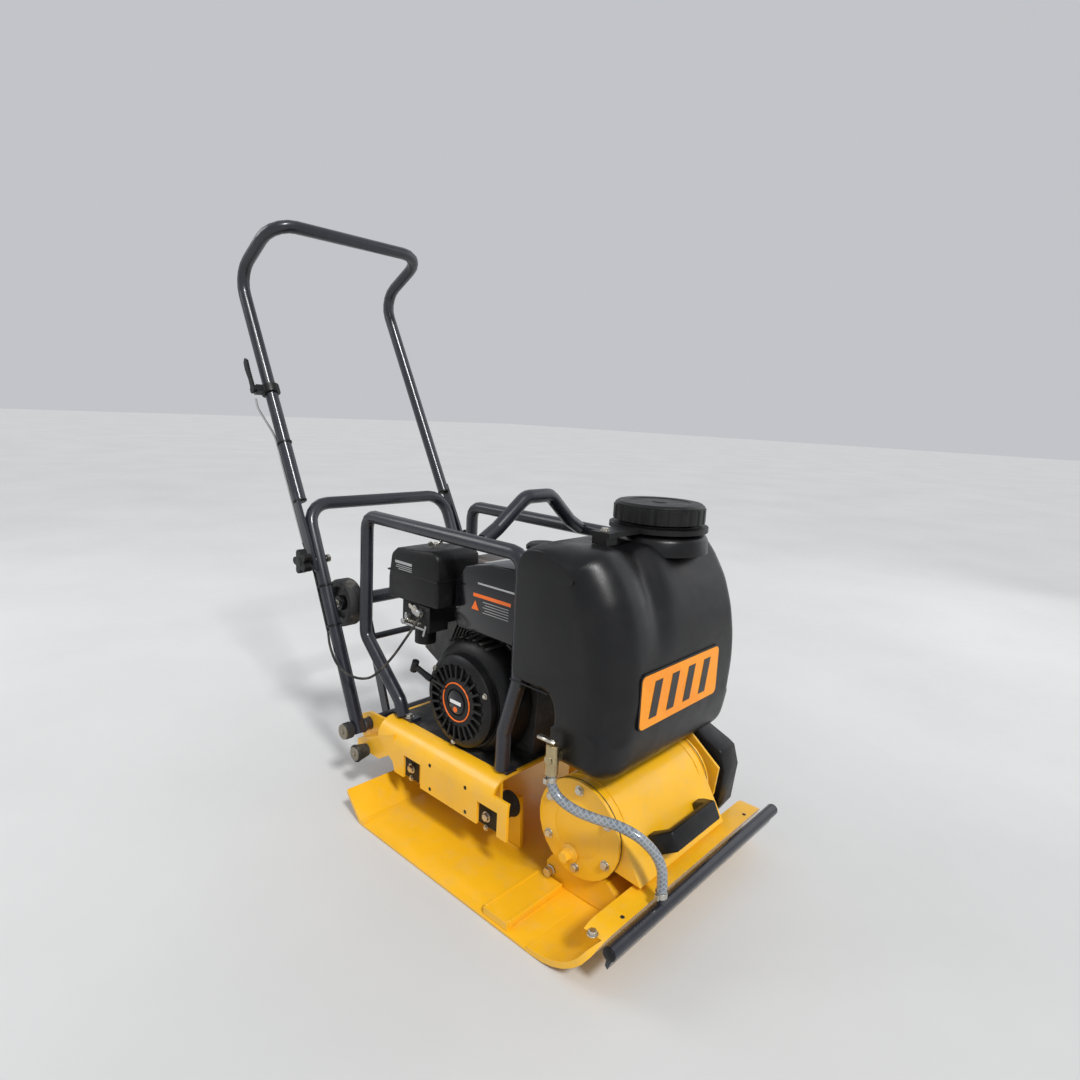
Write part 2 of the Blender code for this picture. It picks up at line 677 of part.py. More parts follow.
def belt_outline(front_radius, rear_radius):
    """(y, z) loop round the exciter pulley and the clutch pulley."""
    front = Vector((SHAFT_Y, SHAFT_Z))
    rear = Vector((CRANK_Y, CRANK_Z))
    span = rear - front
    heading = math.atan2(span.y, span.x)
    lean = math.asin((rear_radius - front_radius) / span.length)
    points = []
    for step in range(13):
        angle = heading + math.pi / 2 + lean + (math.pi - 2 * lean) * step / 12
        points.append((front.x + front_radius * math.cos(angle),
                       front.y + front_radius * math.sin(angle)))
    for step in range(13):
        angle = heading - math.pi / 2 - lean + (math.pi + 2 * lean) * step / 12
        points.append((rear.x + rear_radius * math.cos(angle),
                       rear.y + rear_radius * math.sin(angle)))
    return points


def make_belt_drive():
    belt = prism(belt_outline(PULLEY_RADIUS + 5, CLUTCH_RADIUS - 1), BELT_X - 3.5, BELT_X + 3.5)
    belt = cut(belt, prism(belt_outline(PULLEY_RADIUS - 5, CLUTCH_RADIUS - 11), BELT_X - 5, BELT_X + 5))
    piece("v_belt", belt, rubber("belt_rubber"), (BELT_X, SHAFT_Y, SHAFT_Z))
    front = [(-236, 46), (-284, 56), (-303, 88), (-310, 156), (-300, 190), (-288, 196)]
    rear = []
    for step in range(9):
        angle = math.radians(118 - step * 208 / 8)
        rear.append((CRANK_Y + 74 * math.cos(angle), CRANK_Z + 74 * math.sin(angle)))
    outline = front + rear
    shell = prism(outline, 158, 212)
    inset = prism(belt_outline(64, 70), 150, 208.5)
    shell = bevelled(shell, 5, 2)
    shell = cut(shell, inset)
    piece("belt_cover", shell, black_plastic("belt_cover_black"), (212, -90, 190))
    plate = prism([(-246, 214), (-306, 168), (-300, 116), (-236, 86), (-232, 60), (-200, 52),
                   (-150, 90), (-150, 180), (-190, 214)], 142, 147)
    plate = cut(plate, rod(30, 130, 160, (0, SHAFT_Y, SHAFT_Z), "x", 32))
    piece("belt_cover_bracket", plate, yellow("yellow_paint_bracket"), (145, -240, 140))


# ---------------------------------------------------------------- water system

def tank_section(inset):
    """(y, z) outline of the water tank, drawn in by a wall thickness."""
    points = [(-92, TANK_TOP - 34), (-92, 352), (-104, 344), (-160, 342), (-172, 330),
              (-174, 256), (-186, 240), (-250, 228), (-272, 232), (-287, 250), (-296, 300),
              (-300, 360), (-298, 405), (-290, 452), (-274, 500), (-250, 540), (-226, TANK_TOP),
              (-126, TANK_TOP), (-104, TANK_TOP - 10)]
    if inset == 0:
        return points
    centre = Vector((-210, 400))
    moved = []
    for before, here, after in zip(points[-1:] + points[:-1], points, points[1:] + points[:1]):
        way = (Vector(after) - Vector(before)).normalized()
        normal = Vector((way.y, -way.x))
        if normal.dot(centre - Vector(here)) < 0:
            normal = -normal
        moved.append(tuple(Vector(here) + normal * inset))
    return moved


def make_tank():
    body = bevelled(prism(tank_section(0), *TANK_X), 22, 3, 50)
    neck = rod(NECK_RADIUS, TANK_TOP - 20, TANK_TOP + 26, (CAP_X, CAP_Y, 0), "z", 32)
    shoulder = rod(NECK_RADIUS + 14, TANK_TOP - 20, TANK_TOP + 8, (CAP_X, CAP_Y, 0), "z", 28)
    body = joined(body, shoulder, neck)
    room = prism(tank_section(TANK_WALL), TANK_X[0] + TANK_WALL, TANK_X[1] - TANK_WALL)
    room = bevelled(room, 18, 2, 50)
    for side in (-1, 1):
        low, high = sorted((side * (GUARD_X - 19), side * 195))
        room = cut(room, block((low, POST_Y - 20, 320), (high, -60, 600)))
    bore = rod(NECK_BORE, TANK_TOP - 40, TANK_TOP + 60, (CAP_X, CAP_Y, 0), "z", 28)
    body = cut(body, room, bore)
    for side in (-1, 1):
        low, high = sorted((side * (GUARD_X - 15.5), side * (GUARD_X + 15.5)))
        body = cut(body, block((low, POST_Y - 15.5, 320), (high, -60, 600)))
    body = cut(body, rod(7, -175, -150, (0, -205, 262), "x", 16))
    piece("water_tank", body, black_plastic("tank_polyethylene"), (0, -200, 230))
    seat = TANK_TOP + 26 + GAP
    cap = turned([(0, seat), (CAP_RADIUS, seat), (CAP_RADIUS, seat + 26), (CAP_RADIUS - 5, seat + 31),
                  (0, seat + 31)], (CAP_X, CAP_Y, 0), "z", 28)
    cap_axis = joint_empty("tank_cap_axis", (CAP_X, CAP_Y, seat))
    piece("tank_cap", cap, black_plastic("tank_cap_black"), (CAP_X, CAP_Y, seat), cap_axis)
    loop = ring(NECK_RADIUS + 16, NECK_RADIUS + 1.0, TANK_TOP + 12, TANK_TOP + 20,
                (CAP_X, CAP_Y, 0), "z", 28)
    tab = block((-86, CAP_Y - 18, TANK_TOP + 12), (CAP_X - NECK_RADIUS - 6, CAP_Y + 18, TANK_TOP + 20))
    bracket = block((-86, CAP_Y - 14, TANK_TOP + GAP), (-60, CAP_Y + 14, TANK_TOP + 13))
    piece("tank_strap", joined(loop, tab, bracket), black_plastic("strap_black"), (CAP_X, CAP_Y, 580))
    body = rod(7, -196, -168 - GAP, (0, -205, 262), "x", 16)
    body = joined(body, rod(10, 238, 284, (-186, -205, 0), "z", 16))
    piece("outlet_valve", body, zinc("valve_brass"), (-186, -205, 262))
    lever = block((-191, -210, 284 + GAP), (-181, -176, 290))
    lever_axis = joint_empty("valve_axis", (-186, -205, 284))
    piece("valve_lever", bevelled(lever, 1.5, 1), material("valve_red", (0.4, 0.02, 0.01), 0.5),
          (-186, -205, 284), lever_axis)


def make_water_line():
    bar_y, bar_z = -364.0, 77.0
    bar = joined(ring(10, 7, -243, 243, (0, bar_y - 2, bar_z), "x", 20),
                 prism([(bar_y + 3, bar_z - 8), (bar_y - 6, bar_z - 9), (bar_y + 1, bar_z - 26),
                        (bar_y + 5, bar_z - 22)], -241, 241))
    bar = cut(bar, rod(3.4, bar_z, bar_z + 20, (-124, bar_y - 2, 0), "z", 12))
    bar = joined(bar, ring(5.6, 3.4, bar_z + 9, bar_z + 18, (-124, bar_y - 2, 0), "z", 16))
    piece("sprinkler_bar", bar, frame_paint("frame_paint_bar"), (0, bar_y, bar_z))
    route = [(-186, -205, 237.5), (-186, -207, 222), (-184, -220, 206), (-178, -246, 196),
             (-168, -276, 192), (-156, -306, 190), (-144, -334, 181), (-134, -354, 164),
             (-127, -364, 142), (-124.4, -366, 118), (-124, -366, bar_z + 18.4)]
    hose = material("clear_hose", (0.55, 0.58, 0.6), 0.25)
    cord("water_hose", smooth_route(route, 3), 7.5, hose)


def make_front_handle():
    """Grab handle on the sloping hood, drawn in the plane across the machine."""
    outline = [(-76, 0), (-58, 0), (-50, 24), (50, 24), (58, 0), (76, 0), (76, 14), (64, 40),
               (-64, 40), (-76, 14)]
    body = bevelled(prism(outline, -15, 15, "z"), 3, 2)
    outward = Vector((0, -0.9, 0.44)).normalized()
    downhill = Vector((1, 0, 0)).cross(outward)
    turn = Matrix((Vector((1, 0, 0)), outward, downhill)).transposed()
    bmesh.ops.rotate(body, verts=body.verts, cent=(0, 0, 0), matrix=turn)
    if turn.determinant() < 0:
        bmesh.ops.reverse_faces(body, faces=body.faces)
    bmesh.ops.translate(body, verts=body.verts, vec=(0, -312.5, 126))
    piece("front_handle", body, black_plastic("handle_black"), (0, -312, 126))


# ---------------------------------------------------------------- handle

def make_lower_handle():
    tilt = joint_empty("lower_handle_axis", (0, *HANDLE_PIVOT))
    foot = (LEG_X, leg_y(117), 117)
    corner = (LEG_X, leg_y(CROSSBAR_Z), CROSSBAR_Z)
    route = [(-foot[0], foot[1], foot[2]), (-corner[0], corner[1], corner[2]), corner, foot]
    body = swept(rounded_path(route, 48, 5), LEG_RADIUS)
    body = joined(body, rod(12.5, -188, 188, (0, *HANDLE_PIVOT), "x", 20))
    fold_hole = rod(5.3, -220, 220, (0, FOLD_PIVOT[0], FOLD_PIVOT[1]), "x", 16)
    body = cut(body, fold_hole)
    piece("lower_handle", body, frame_paint("frame_paint_lower"), (0, *HANDLE_PIVOT), tilt)
    for side, label in ((-1, "left"), (1, "right")):
        near = side * (LEG_X + LEG_RADIUS + GAP)
        far = side * 216
        bush = turned([(0, near), (12, near), (16, near + side * 4), (16, far - side * 3), (13, far),
                       (0, far)], (0, *HANDLE_PIVOT), "x", 24)
        piece(f"pivot_bush_{label}", bush, rubber(f"bush_rubber_{label}"), (far, *HANDLE_PIVOT), tilt)
        low = side * (DECK_HALF + GAP)
        stop = turned([(0, low), (12, low), (16, side * 200), (17, side * 201), (17, side * 205),
                       (0, side * 205)], (0, 276, 88), "x", 24)
        piece(f"stop_buffer_{label}", stop, rubber(f"stop_rubber_{label}"), (side * 190, 276, 88))
    return tilt


def make_upper_handle(lower):
    fold = joint_empty("upper_handle_axis", (0, *FOLD_PIVOT), lower)
    low_end = (UPPER_X, upper_y(556), 556)
    kink = (UPPER_X, upper_y(KINK_Z), KINK_Z)
    bar = (UPPER_X, *HANDLE_BAR)
    half = [low_end, kink, bar]
    route = [(-x, y, z) for x, y, z in half] + list(reversed(half))
    body = swept(rounded_path(route, 54, 5), LEG_RADIUS)
    for side in (-1, 1):
        inner = side * (LEG_X + LEG_RADIUS + 1.2)
        outer = side * (LEG_X + LEG_RADIUS + 8.0)
        low, high = sorted((inner, outer))
        tab = [(upper_y(424) - 9, 426), (upper_y(424) + 7, 420), (upper_y(480) + 13, 480),
               (upper_y(574) + 12, 574), (upper_y(574) - 12, 574), (upper_y(480) - 13, 480)]
        plate = cut(prism(tab, low, high), rod(5.3, low - 2, high + 2, (0, *FOLD_PIVOT), "x", 16))
        body = joined(body, plate)
    piece("upper_handle", body, frame_paint("frame_paint_upper"), (0, *FOLD_PIVOT), fold)
    for side, label in ((-1, "left"), (1, "right")):
        spin = joint_empty(f"knob_axis_{label}", (side * 212, *FOLD_PIVOT), fold)
        face = side * (LEG_X + LEG_RADIUS + 8.0 + GAP)
        knob = turned([(0, face), (9, face), (9, side * 214), (0, side * 214)],
                      (0, *FOLD_PIVOT), "x", 16)
        star = []
        for step in range(30):
            angle = math.tau * step / 30
            reach = 22 + 4.5 * math.cos(5 * angle)
            star.append((FOLD_PIVOT[0] + reach * math.cos(angle), FOLD_PIVOT[1] + reach * math.sin(angle)))
        low, high = sorted((side * 213, side * 230))
        knob = joined(knob, bevelled(prism(star, low, high), 2.5, 1, 60))
        inner_end = side * (LEG_X - LEG_RADIUS - 6)
        low, high = sorted((inner_end, side * 214))
        knob = joined(knob, rod(5, low, high, (0, *FOLD_PIVOT), "x", 16))
        piece(f"star_knob_{label}", knob, black_plastic(f"knob_black_{label}"),
              (side * 212, *FOLD_PIVOT), spin)
    return fold


def make_throttle(lower, fold):
    along = Vector((0, UPPER_SLOPE, 1)).normalized()
    spot = Vector((-UPPER_X, upper_y(CLAMP_Z), CLAMP_Z))
    turn = Vector((0, 0, 1)).rotation_difference(along).to_matrix()

    def leaned(bm):
        bmesh.ops.rotate(bm, verts=bm.verts, cent=(0, 0, 0), matrix=turn)
        bmesh.ops.translate(bm, verts=bm.verts, vec=spot)
        return bm
    clamp = ring(LEG_RADIUS + 6, LEG_RADIUS + GAP, -9, 9, (0, 0, 0), "z", 24)
    clamp = joined(clamp, block((-34, -9, -8), (-16, 9, 8)))
    piece("throttle_clamp", leaned(clamp), black_plastic("clamp_black"), spot, fold)
    pivot = spot + Vector((-37, 0, 0))
    swing = joint_empty("throttle_axis", pivot, fold)
    lever = rod(9, -41, -34 - GAP, (0, 0, 0), "x", 16)
    handle = prism([(-7, 2), (7, 2), (6, 26), (10, 52), (8, 68), (0, 74), (-7, 66), (-5, 40)],
                   -40, -35.5)
    lever = joined(lever, handle)
    piece("throttle_lever", leaned(lever), black_plastic("lever_black"), pivot, swing)
    sheath = rubber("cable_sheath")
    x = -UPPER_X - 9
    behind = 17.0
    top = [spot + turn @ Vector(p) for p in ((-30, 14, -14), (-27, 20, -34), (-16, 22, -64))]
    down = [(x, upper_y(z) + behind, z) for z in (680, 630, 580, 520, 472)]
    cord("throttle_cable_upper", smooth_route(top + down, 3), 2.4, sheath, fold)
    lower_x = -LEG_X - 9
    run = [(lower_x, leg_y(z) + behind, z) for z in (412, 370, 330, 300)]
    cord("throttle_cable_lower", smooth_route(run, 2), 2.4, rubber("cable_sheath_lower"), lower)
    loop = [(lower_x, leg_y(299) + behind, 299), (-198, leg_y(276) + 10, 276),
            (-204, leg_y(252) - 10, 254), (-202, 318, 240), (-196, 282, 238), (-190, 250, 248),
            (-184, 222, 272), (-176, 196, 304), (-166, 176, 338), (-155, 166, 362),
            (-144.5, 164, 378)]
    cord("throttle_cable_loop", smooth_route(loop, 3), 2.4, rubber("cable_sheath_loop"))


# ---------------------------------------------------------------- transport wheels

def make_wheels():
    swing = joint_empty("carriage_axis", (0, *CARRIAGE_PIVOT))
    reach = WHEEL_X - WHEEL_WIDTH / 2 - 4
    body = rod(14, -reach, reach, (0, WHEEL_Y, WHEEL_Z), "x", 16)
    body = joined(body, rod(9, -WHEEL_X - 14, WHEEL_X + 14, (0, WHEEL_Y, WHEEL_Z), "x", 16))
    body = joined(body, rod(7, -96, 96, (0, 396, 268), "x", 12))
    run = Vector((WHEEL_Y - CARRIAGE_PIVOT[0], WHEEL_Z - CARRIAGE_PIVOT[1])).normalized()
    wide = Vector((-run.y, run.x)) * 11
    pivot = Vector(CARRIAGE_PIVOT)
    top = Vector((WHEEL_Y, WHEEL_Z))
    arm = [tuple(pivot - run * 12 - wide), tuple(top + run * 6 - wide), tuple(top + run * 6 + wide),
           tuple(pivot - run * 12 + wide)]
    for x in (-92, 86):
        body = joined(body, prism(arm, x, x + 6))
    body = joined(body, rod(8, -94, 94, (0, *CARRIAGE_PIVOT), "x", 16))
    piece("wheel_carriage", body, frame_paint("frame_paint_carriage"), (0, *CARRIAGE_PIVOT), swing)
    for side, label in ((-1, "left"), (1, "right")):
        spin = joint_empty(f"wheel_axis_{label}", (side * WHEEL_X, WHEEL_Y, WHEEL_Z), swing)
        half = WHEEL_WIDTH / 2
        tyre = turned([(9.2, -half + 2), (15, -half + 2), (15, -6), (36, -6), (36, -half + 1),
                       (WHEEL_RADIUS - 3, -half), (WHEEL_RADIUS, -half + 4),
                       (WHEEL_RADIUS, half - 4), (WHEEL_RADIUS - 3, half), (36, half - 1),
                       (36, 6), (15, 6), (15, half - 2), (9.2, half - 2)],
                      (side * WHEEL_X, WHEEL_Y, WHEEL_Z), "x", 20)
        piece(f"wheel_{label}", tyre, rubber(f"wheel_rubber_{label}"),
              (side * WHEEL_X, WHEEL_Y, WHEEL_Z), spin)


def main():
    for obj in list(bpy.data.objects):
        bpy.data.objects.remove(obj)
    piece("base_plate", make_base_plate(), yellow("yellow_paint_plate"))
    make_exciter()
    piece("deck", make_deck(), yellow("yellow_paint_deck"), (0, 80, DECK_TOP))
    make_mounts()
    make_guard()
    make_engine()
    make_crank()
    make_belt_drive()
    make_tank()
    make_water_line()
    make_front_handle()
    lower = make_lower_handle()
    fold = make_upper_handle(lower)
    make_throttle(lower, fold)
    make_wheels()


main()
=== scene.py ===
"""Plate compactor: finishes, small parts, floor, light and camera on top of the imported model."""
import json
import math

import bmesh
import bpy
from mathutils import Matrix, Vector


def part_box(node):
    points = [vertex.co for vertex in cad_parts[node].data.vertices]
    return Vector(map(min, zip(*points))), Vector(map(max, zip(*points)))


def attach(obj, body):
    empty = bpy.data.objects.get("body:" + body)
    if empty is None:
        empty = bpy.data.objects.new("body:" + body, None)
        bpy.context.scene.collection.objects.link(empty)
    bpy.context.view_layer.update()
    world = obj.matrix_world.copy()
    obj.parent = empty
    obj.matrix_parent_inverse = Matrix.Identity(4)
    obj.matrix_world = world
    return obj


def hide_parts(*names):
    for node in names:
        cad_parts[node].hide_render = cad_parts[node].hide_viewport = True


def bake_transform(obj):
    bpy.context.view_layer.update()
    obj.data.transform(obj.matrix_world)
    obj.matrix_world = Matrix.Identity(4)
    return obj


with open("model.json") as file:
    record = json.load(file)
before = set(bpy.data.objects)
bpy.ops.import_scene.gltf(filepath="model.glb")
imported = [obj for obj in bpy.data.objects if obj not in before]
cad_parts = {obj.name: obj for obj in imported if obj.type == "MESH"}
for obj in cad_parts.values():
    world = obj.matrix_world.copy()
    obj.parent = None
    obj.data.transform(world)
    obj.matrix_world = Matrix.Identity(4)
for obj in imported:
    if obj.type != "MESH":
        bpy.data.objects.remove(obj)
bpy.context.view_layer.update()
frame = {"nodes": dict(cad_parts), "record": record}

MM = 0.001
BODY_OF = {n: b for b, ns in frame["record"]["behaviour"]["bodies"].items() for n in ns}
SLOT_OF = {s["node"]: s["material_slot"] for s in frame["record"]["subparts"]}

# Places that several parts share, in millimetres.
EXCITER_Y, EXCITER_Z = -218.0, 132.0
CRANK_Y, CRANK_Z = 50.0, 253.0
FOLD_Y, FOLD_Z = 444.0, 441.0          # joint between the handle's two halves
FILLER_X, FILLER_Y = 75, -190          # water tank's neck and cap
VALVE_X, VALVE_Y = -186, -205
MOUNT_Y = (-44, 165)                   # rubber mounts under the deck
CABLE_RADIUS, CABLE_BEHIND = 2.4, 17.0
LEG_RUN = (0, 0.4254, 0.905)           # along the lower handle's legs
UPPER_RUN = (0, 0.483, 0.8755)         # along the upper handle's legs
SIDES = ((-1, "left"), (1, "right"))


# ---------------------------------------------------------------- materials

class Nodes:
    """Short calls for building one procedural material."""

    def __init__(self, name):
        self.mat = bpy.data.materials.new(name)
        self.mat.use_nodes = True
        self.tree = self.mat.node_tree
        self.shader = self.tree.nodes["Principled BSDF"]
        self.coord = self.tree.nodes.new("ShaderNodeTexCoord").outputs["Object"]

    def link(self, a, b):
        self.tree.links.new(a, b)

    def noise(self, scale, detail=4.0, rough=0.55, stretch=(1, 1, 1)):
        place = self.tree.nodes.new("ShaderNodeMapping")
        place.inputs["Scale"].default_value = stretch
        self.link(self.coord, place.inputs["Vector"])
        node = self.tree.nodes.new("ShaderNodeTexNoise")
        node.inputs["Scale"].default_value = scale
        node.inputs["Detail"].default_value = detail
        node.inputs["Roughness"].default_value = rough
        self.link(place.outputs[0], node.inputs["Vector"])
        return node.outputs["Fac"]

    def ramp(self, value, stops):
        node = self.tree.nodes.new("ShaderNodeValToRGB")
        ramp = node.color_ramp
        ramp.elements[0].position, ramp.elements[0].color = stops[0][0], (*stops[0][1], 1)
        ramp.elements[1].position, ramp.elements[1].color = stops[-1][0], (*stops[-1][1], 1)
        for place, colour in stops[1:-1]:
            ramp.elements.new(place).color = (*colour, 1)
        self.link(value, node.inputs["Fac"])
        return node.outputs["Color"]

    def spread(self, value, low, high, start=0.0, end=1.0):
        node = self.tree.nodes.new("ShaderNodeMapRange")
        for key, number in zip(("From Min", "From Max", "To Min", "To Max"), (start, end, low, high)):
            node.inputs[key].default_value = number
        self.link(value, node.inputs["Value"])
        return node.outputs["Result"]

    def mix(self, factor, a, b):
        node = self.tree.nodes.new("ShaderNodeMix")
        node.data_type = "RGBA"
        self.link(factor, node.inputs["Factor"])
        for key, value in (("A", a), ("B", b)):
            socket = [s for s in node.inputs if s.name == key and s.type == "RGBA"][0]
            if isinstance(value, tuple):
                socket.default_value = (*value, 1)
            else:
                self.link(value, socket)
        return [s for s in node.outputs if s.type == "RGBA"][0]

    def bump(self, value, strength):
        node = self.tree.nodes.new("ShaderNodeBump")
        node.inputs["Strength"].default_value = strength
        node.inputs["Distance"].default_value = 0.0004
        self.link(value, node.inputs["Height"])
        self.link(node.outputs["Normal"], self.shader.inputs["Normal"])


def finish(name, colour, rough, metal=0.0, vary=0.10, grain=900.0, grain_strength=0.12,
           dust=0.06, dust_colour=(0.42, 0.38, 0.30), coat=0.0, scratch=0.0, specular=0.5):
    """Painted, moulded or metal surface: patchy tone, fine grain, dust in random patches, light
    scratches.
    """
    n = Nodes(name)
    dark = tuple(c * (1 - vary) for c in colour)
    light = tuple(min(1.0, c * (1 + vary)) for c in colour)
    tone = n.ramp(n.noise(9.0), [(0.32, dark), (0.68, light)])
    grime = n.noise(24.0, 8.0, 0.7)
    settled = n.spread(grime, 0.0, dust * 2.4, 0.48, 0.74)
    tone = n.mix(settled, tone, dust_colour)
    if scratch:
        streaks = n.noise(60.0, 6.0, 0.6, (1, 14, 14))
        lines = n.spread(streaks, 0.0, scratch, 0.66, 0.72)
        tone = n.mix(lines, tone, tuple(0.5 * c + 0.12 for c in colour))
    n.link(tone, n.shader.inputs["Base Color"])
    n.link(n.spread(n.noise(40.0, 5.0), rough * 0.82, min(1.0, rough * 1.2), 0.3, 0.7),
           n.shader.inputs["Roughness"])
    n.shader.inputs["Metallic"].default_value = metal
    n.shader.inputs["Specular IOR Level"].default_value = specular
    n.shader.inputs["Coat Weight"].default_value = coat
    n.shader.inputs["Coat Roughness"].default_value = 0.12
    n.bump(n.noise(grain, 3.0), grain_strength)
    return n.mat


def braided(name):
    """Clear hose with a white crossed braid in its wall."""
    n = Nodes(name)
    bands = []
    for turn in (0.62, -0.62):
        place = n.tree.nodes.new("ShaderNodeMapping")
        place.inputs["Rotation"].default_value = (turn, turn * 0.6, 0.2)
        n.link(n.coord, place.inputs["Vector"])
        wave = n.tree.nodes.new("ShaderNodeTexWave")
        wave.bands_direction = "Z"
        wave.inputs["Scale"].default_value = 55.0
        wave.inputs["Distortion"].default_value = 0.4
        n.link(place.outputs[0], wave.inputs["Vector"])
        bands.append(n.spread(wave.outputs["Fac"], 0.0, 1.0, 0.70, 0.92))
    most = n.tree.nodes.new("ShaderNodeMath")
    most.operation = "MAXIMUM"
    n.link(bands[0], most.inputs[0])
    n.link(bands[1], most.inputs[1])
    tone = n.mix(most.outputs[0], (0.15, 0.17, 0.19), (0.27, 0.30, 0.33))
    n.link(n.mix(n.spread(n.noise(30.0), 0.0, 0.25, 0.45, 0.7), tone, (0.45, 0.42, 0.35)),
           n.shader.inputs["Base Color"])
    n.shader.inputs["Roughness"].default_value = 0.16
    n.shader.inputs["Coat Weight"].default_value = 0.7
    n.bump(most.outputs[0], 0.2)
    return n.mat


def panel_art(name, base, second, dark, scale):
    """Enamel in two close tones with worn patches, for the plate on the water tank."""
    n = Nodes(name)
    place = n.tree.nodes.new("ShaderNodeMapping")
    place.inputs["Rotation"].default_value = (0, 0.8, 0)
    n.link(n.coord, place.inputs["Vector"])
    wave = n.tree.nodes.new("ShaderNodeTexWave")
    wave.inputs["Scale"].default_value = scale
    wave.inputs["Distortion"].default_value = 0.0
    n.link(place.outputs[0], wave.inputs["Vector"])
    tone = n.ramp(wave.outputs["Fac"], [(0.0, base), (0.56, base), (0.6, second), (1.0, second)])
    wear = n.spread(n.noise(45.0, 7.0, 0.7), 0.0, 0.5, 0.60, 0.8)
    n.link(n.mix(wear, tone, dark), n.shader.inputs["Base Color"])
    n.link(n.spread(n.noise(70.0), 0.28, 0.5, 0.3, 0.7), n.shader.inputs["Roughness"])
    n.bump(n.noise(500.0), 0.05)
    return n.mat


YELLOW = (0.86, 0.45, 0.010)
MATS = {
    "yellow": finish("yellow_enamel", YELLOW, 0.34, vary=0.06, grain=420, grain_strength=0.10,
                     dust=0.07, coat=0.25, scratch=0.18),
    "frame": finish("frame_enamel", (0.016, 0.017, 0.024), 0.30, vary=0.2, grain=500,
                    grain_strength=0.10, dust=0.008, coat=0.3, scratch=0.05, specular=0.4),
    "black": finish("moulded_black", (0.006, 0.006, 0.0065), 0.40, vary=0.25, grain=1100,
                    grain_strength=0.2, dust=0.008, specular=0.28),
    "deck_black": finish("under_engine_black", (0.016, 0.016, 0.016), 0.5, vary=0.3, dust=0.10),
    "tank": finish("tank_polyethylene", (0.0050, 0.0050, 0.0056), 0.34, vary=0.3, grain=700,
                   grain_strength=0.35, dust=0.004, scratch=0.03, specular=0.32),
    "gloss": finish("fuel_tank_gloss", (0.003, 0.003, 0.005), 0.14, vary=0.3, grain=300,
                    grain_strength=0.04, dust=0.004, coat=0.4, specular=0.3),
    "rubber": finish("rubber_black", (0.014, 0.014, 0.014), 0.78, vary=0.3, dust=0.12),
    "tyre": finish("tyre_black", (0.017, 0.017, 0.018), 0.7, vary=0.3, dust=0.16),
    "alloy": finish("die_cast_alloy", (0.36, 0.36, 0.37), 0.46, 0.85, grain=1300,
                    grain_strength=0.5, dust=0.12),
    "iron": finish("dark_iron", (0.10, 0.10, 0.10), 0.55, 0.8, grain=900, grain_strength=0.4,
                   dust=0.12),
    "muffler": finish("muffler_steel", (0.17, 0.16, 0.15), 0.5, 0.85, vary=0.3, dust=0.15,
                      dust_colour=(0.24, 0.12, 0.06)),
    "zinc": finish("zinc_plate", (0.60, 0.57, 0.50), 0.30, 1.0, vary=0.12, grain=1500, dust=0.05),
    "dull": finish("dulled_zinc", (0.27, 0.24, 0.19), 0.48, 0.9, vary=0.25, grain=1200, dust=0.14),
    "brass": finish("valve_brass", (0.52, 0.42, 0.24), 0.30, 1.0, vary=0.15, dust=0.08),
    "hose": braided("braided_hose"),
    "orange": finish("orange_plastic", (0.90, 0.15, 0.0), 0.38, vary=0.08, dust=0.05),
    "silver": finish("silver_sheath", (0.46, 0.46, 0.45), 0.34, 0.9, vary=0.15, grain=1600,
                     grain_strength=0.5),
    "white": finish("label_white", (0.78, 0.78, 0.76), 0.35, vary=0.04, dust=0.05),
    "grey_print": finish("grey_print", (0.34, 0.34, 0.34), 0.4, vary=0.1, dust=0.02),
    "ink": finish("panel_ink", (0.018, 0.016, 0.014), 0.4, vary=0.2, dust=0.01),
    # Near-black finish for holes, slots and the inside of the starter cover: painted shade where the part
    # is open
    "hole_shade": finish("painted_hole_shade", (0.006, 0.006, 0.006), 0.85, vary=0.3),
    "panel": panel_art("panel_orange", (0.92, 0.31, 0.0), (0.90, 0.28, 0.0), (0.6, 0.18, 0.01), 2.0),
}
# Finish for each material slot of the record.
NODE_MAT = {"yellow_paint": "yellow", "frame_paint": "frame", "black_plastic": "black",
            "tank_plastic": "tank", "rubber": "rubber", "tyre": "tyre", "engine_alloy": "alloy",
            "iron": "iron", "zinc": "zinc", "gloss_black": "gloss", "brass": "brass"}


# ---------------------------------------------------------------- meshes (millimetres in, metres out)

def turn_to(axis):
    """Rotation that takes +Z to axis."""
    return Vector((0, 0, 1)).rotation_difference(Vector(axis)).to_matrix()


def lathe(profile, centre, axis=(0, 0, 1), sides=32, bm=None):
    """Turned shape from (radius, height) points round axis through centre."""
    bm = bm or bmesh.new()
    turn = turn_to(axis)
    rings = []
    for radius, height in profile:
        if radius == 0:
            rings.append([bm.verts.new((Vector(centre) + turn @ Vector((0, 0, height))) * MM)])
            continue
        rings.append([bm.verts.new((Vector(centre) + turn @ Vector(
            (radius * math.cos(math.tau * k / sides), radius * math.sin(math.tau * k / sides),
             height))) * MM) for k in range(sides)])
    for a, b in zip(rings, rings[1:]):
        for k in range(sides):
            j = (k + 1) % sides
            if len(a) == 1:
                bm.faces.new((a[0], b[k], b[j]))
            elif len(b) == 1:
                bm.faces.new((a[k], a[j], b[0]))
            else:
                bm.faces.new((a[k], a[j], b[j], b[k]))
    return bm


def box(low, high, bm=None):
    """Block between two opposite corners."""
    bm = bm or bmesh.new()
    made = bmesh.ops.create_cube(bm, size=1.0)["verts"]
    middle = (Vector(low) + Vector(high)) / 2
    size = Vector(high) - Vector(low)
    for v in made:
        v.co = Vector((v.co.x * size.x, v.co.y * size.y, v.co.z * size.z)) * MM + middle * MM
    return bm


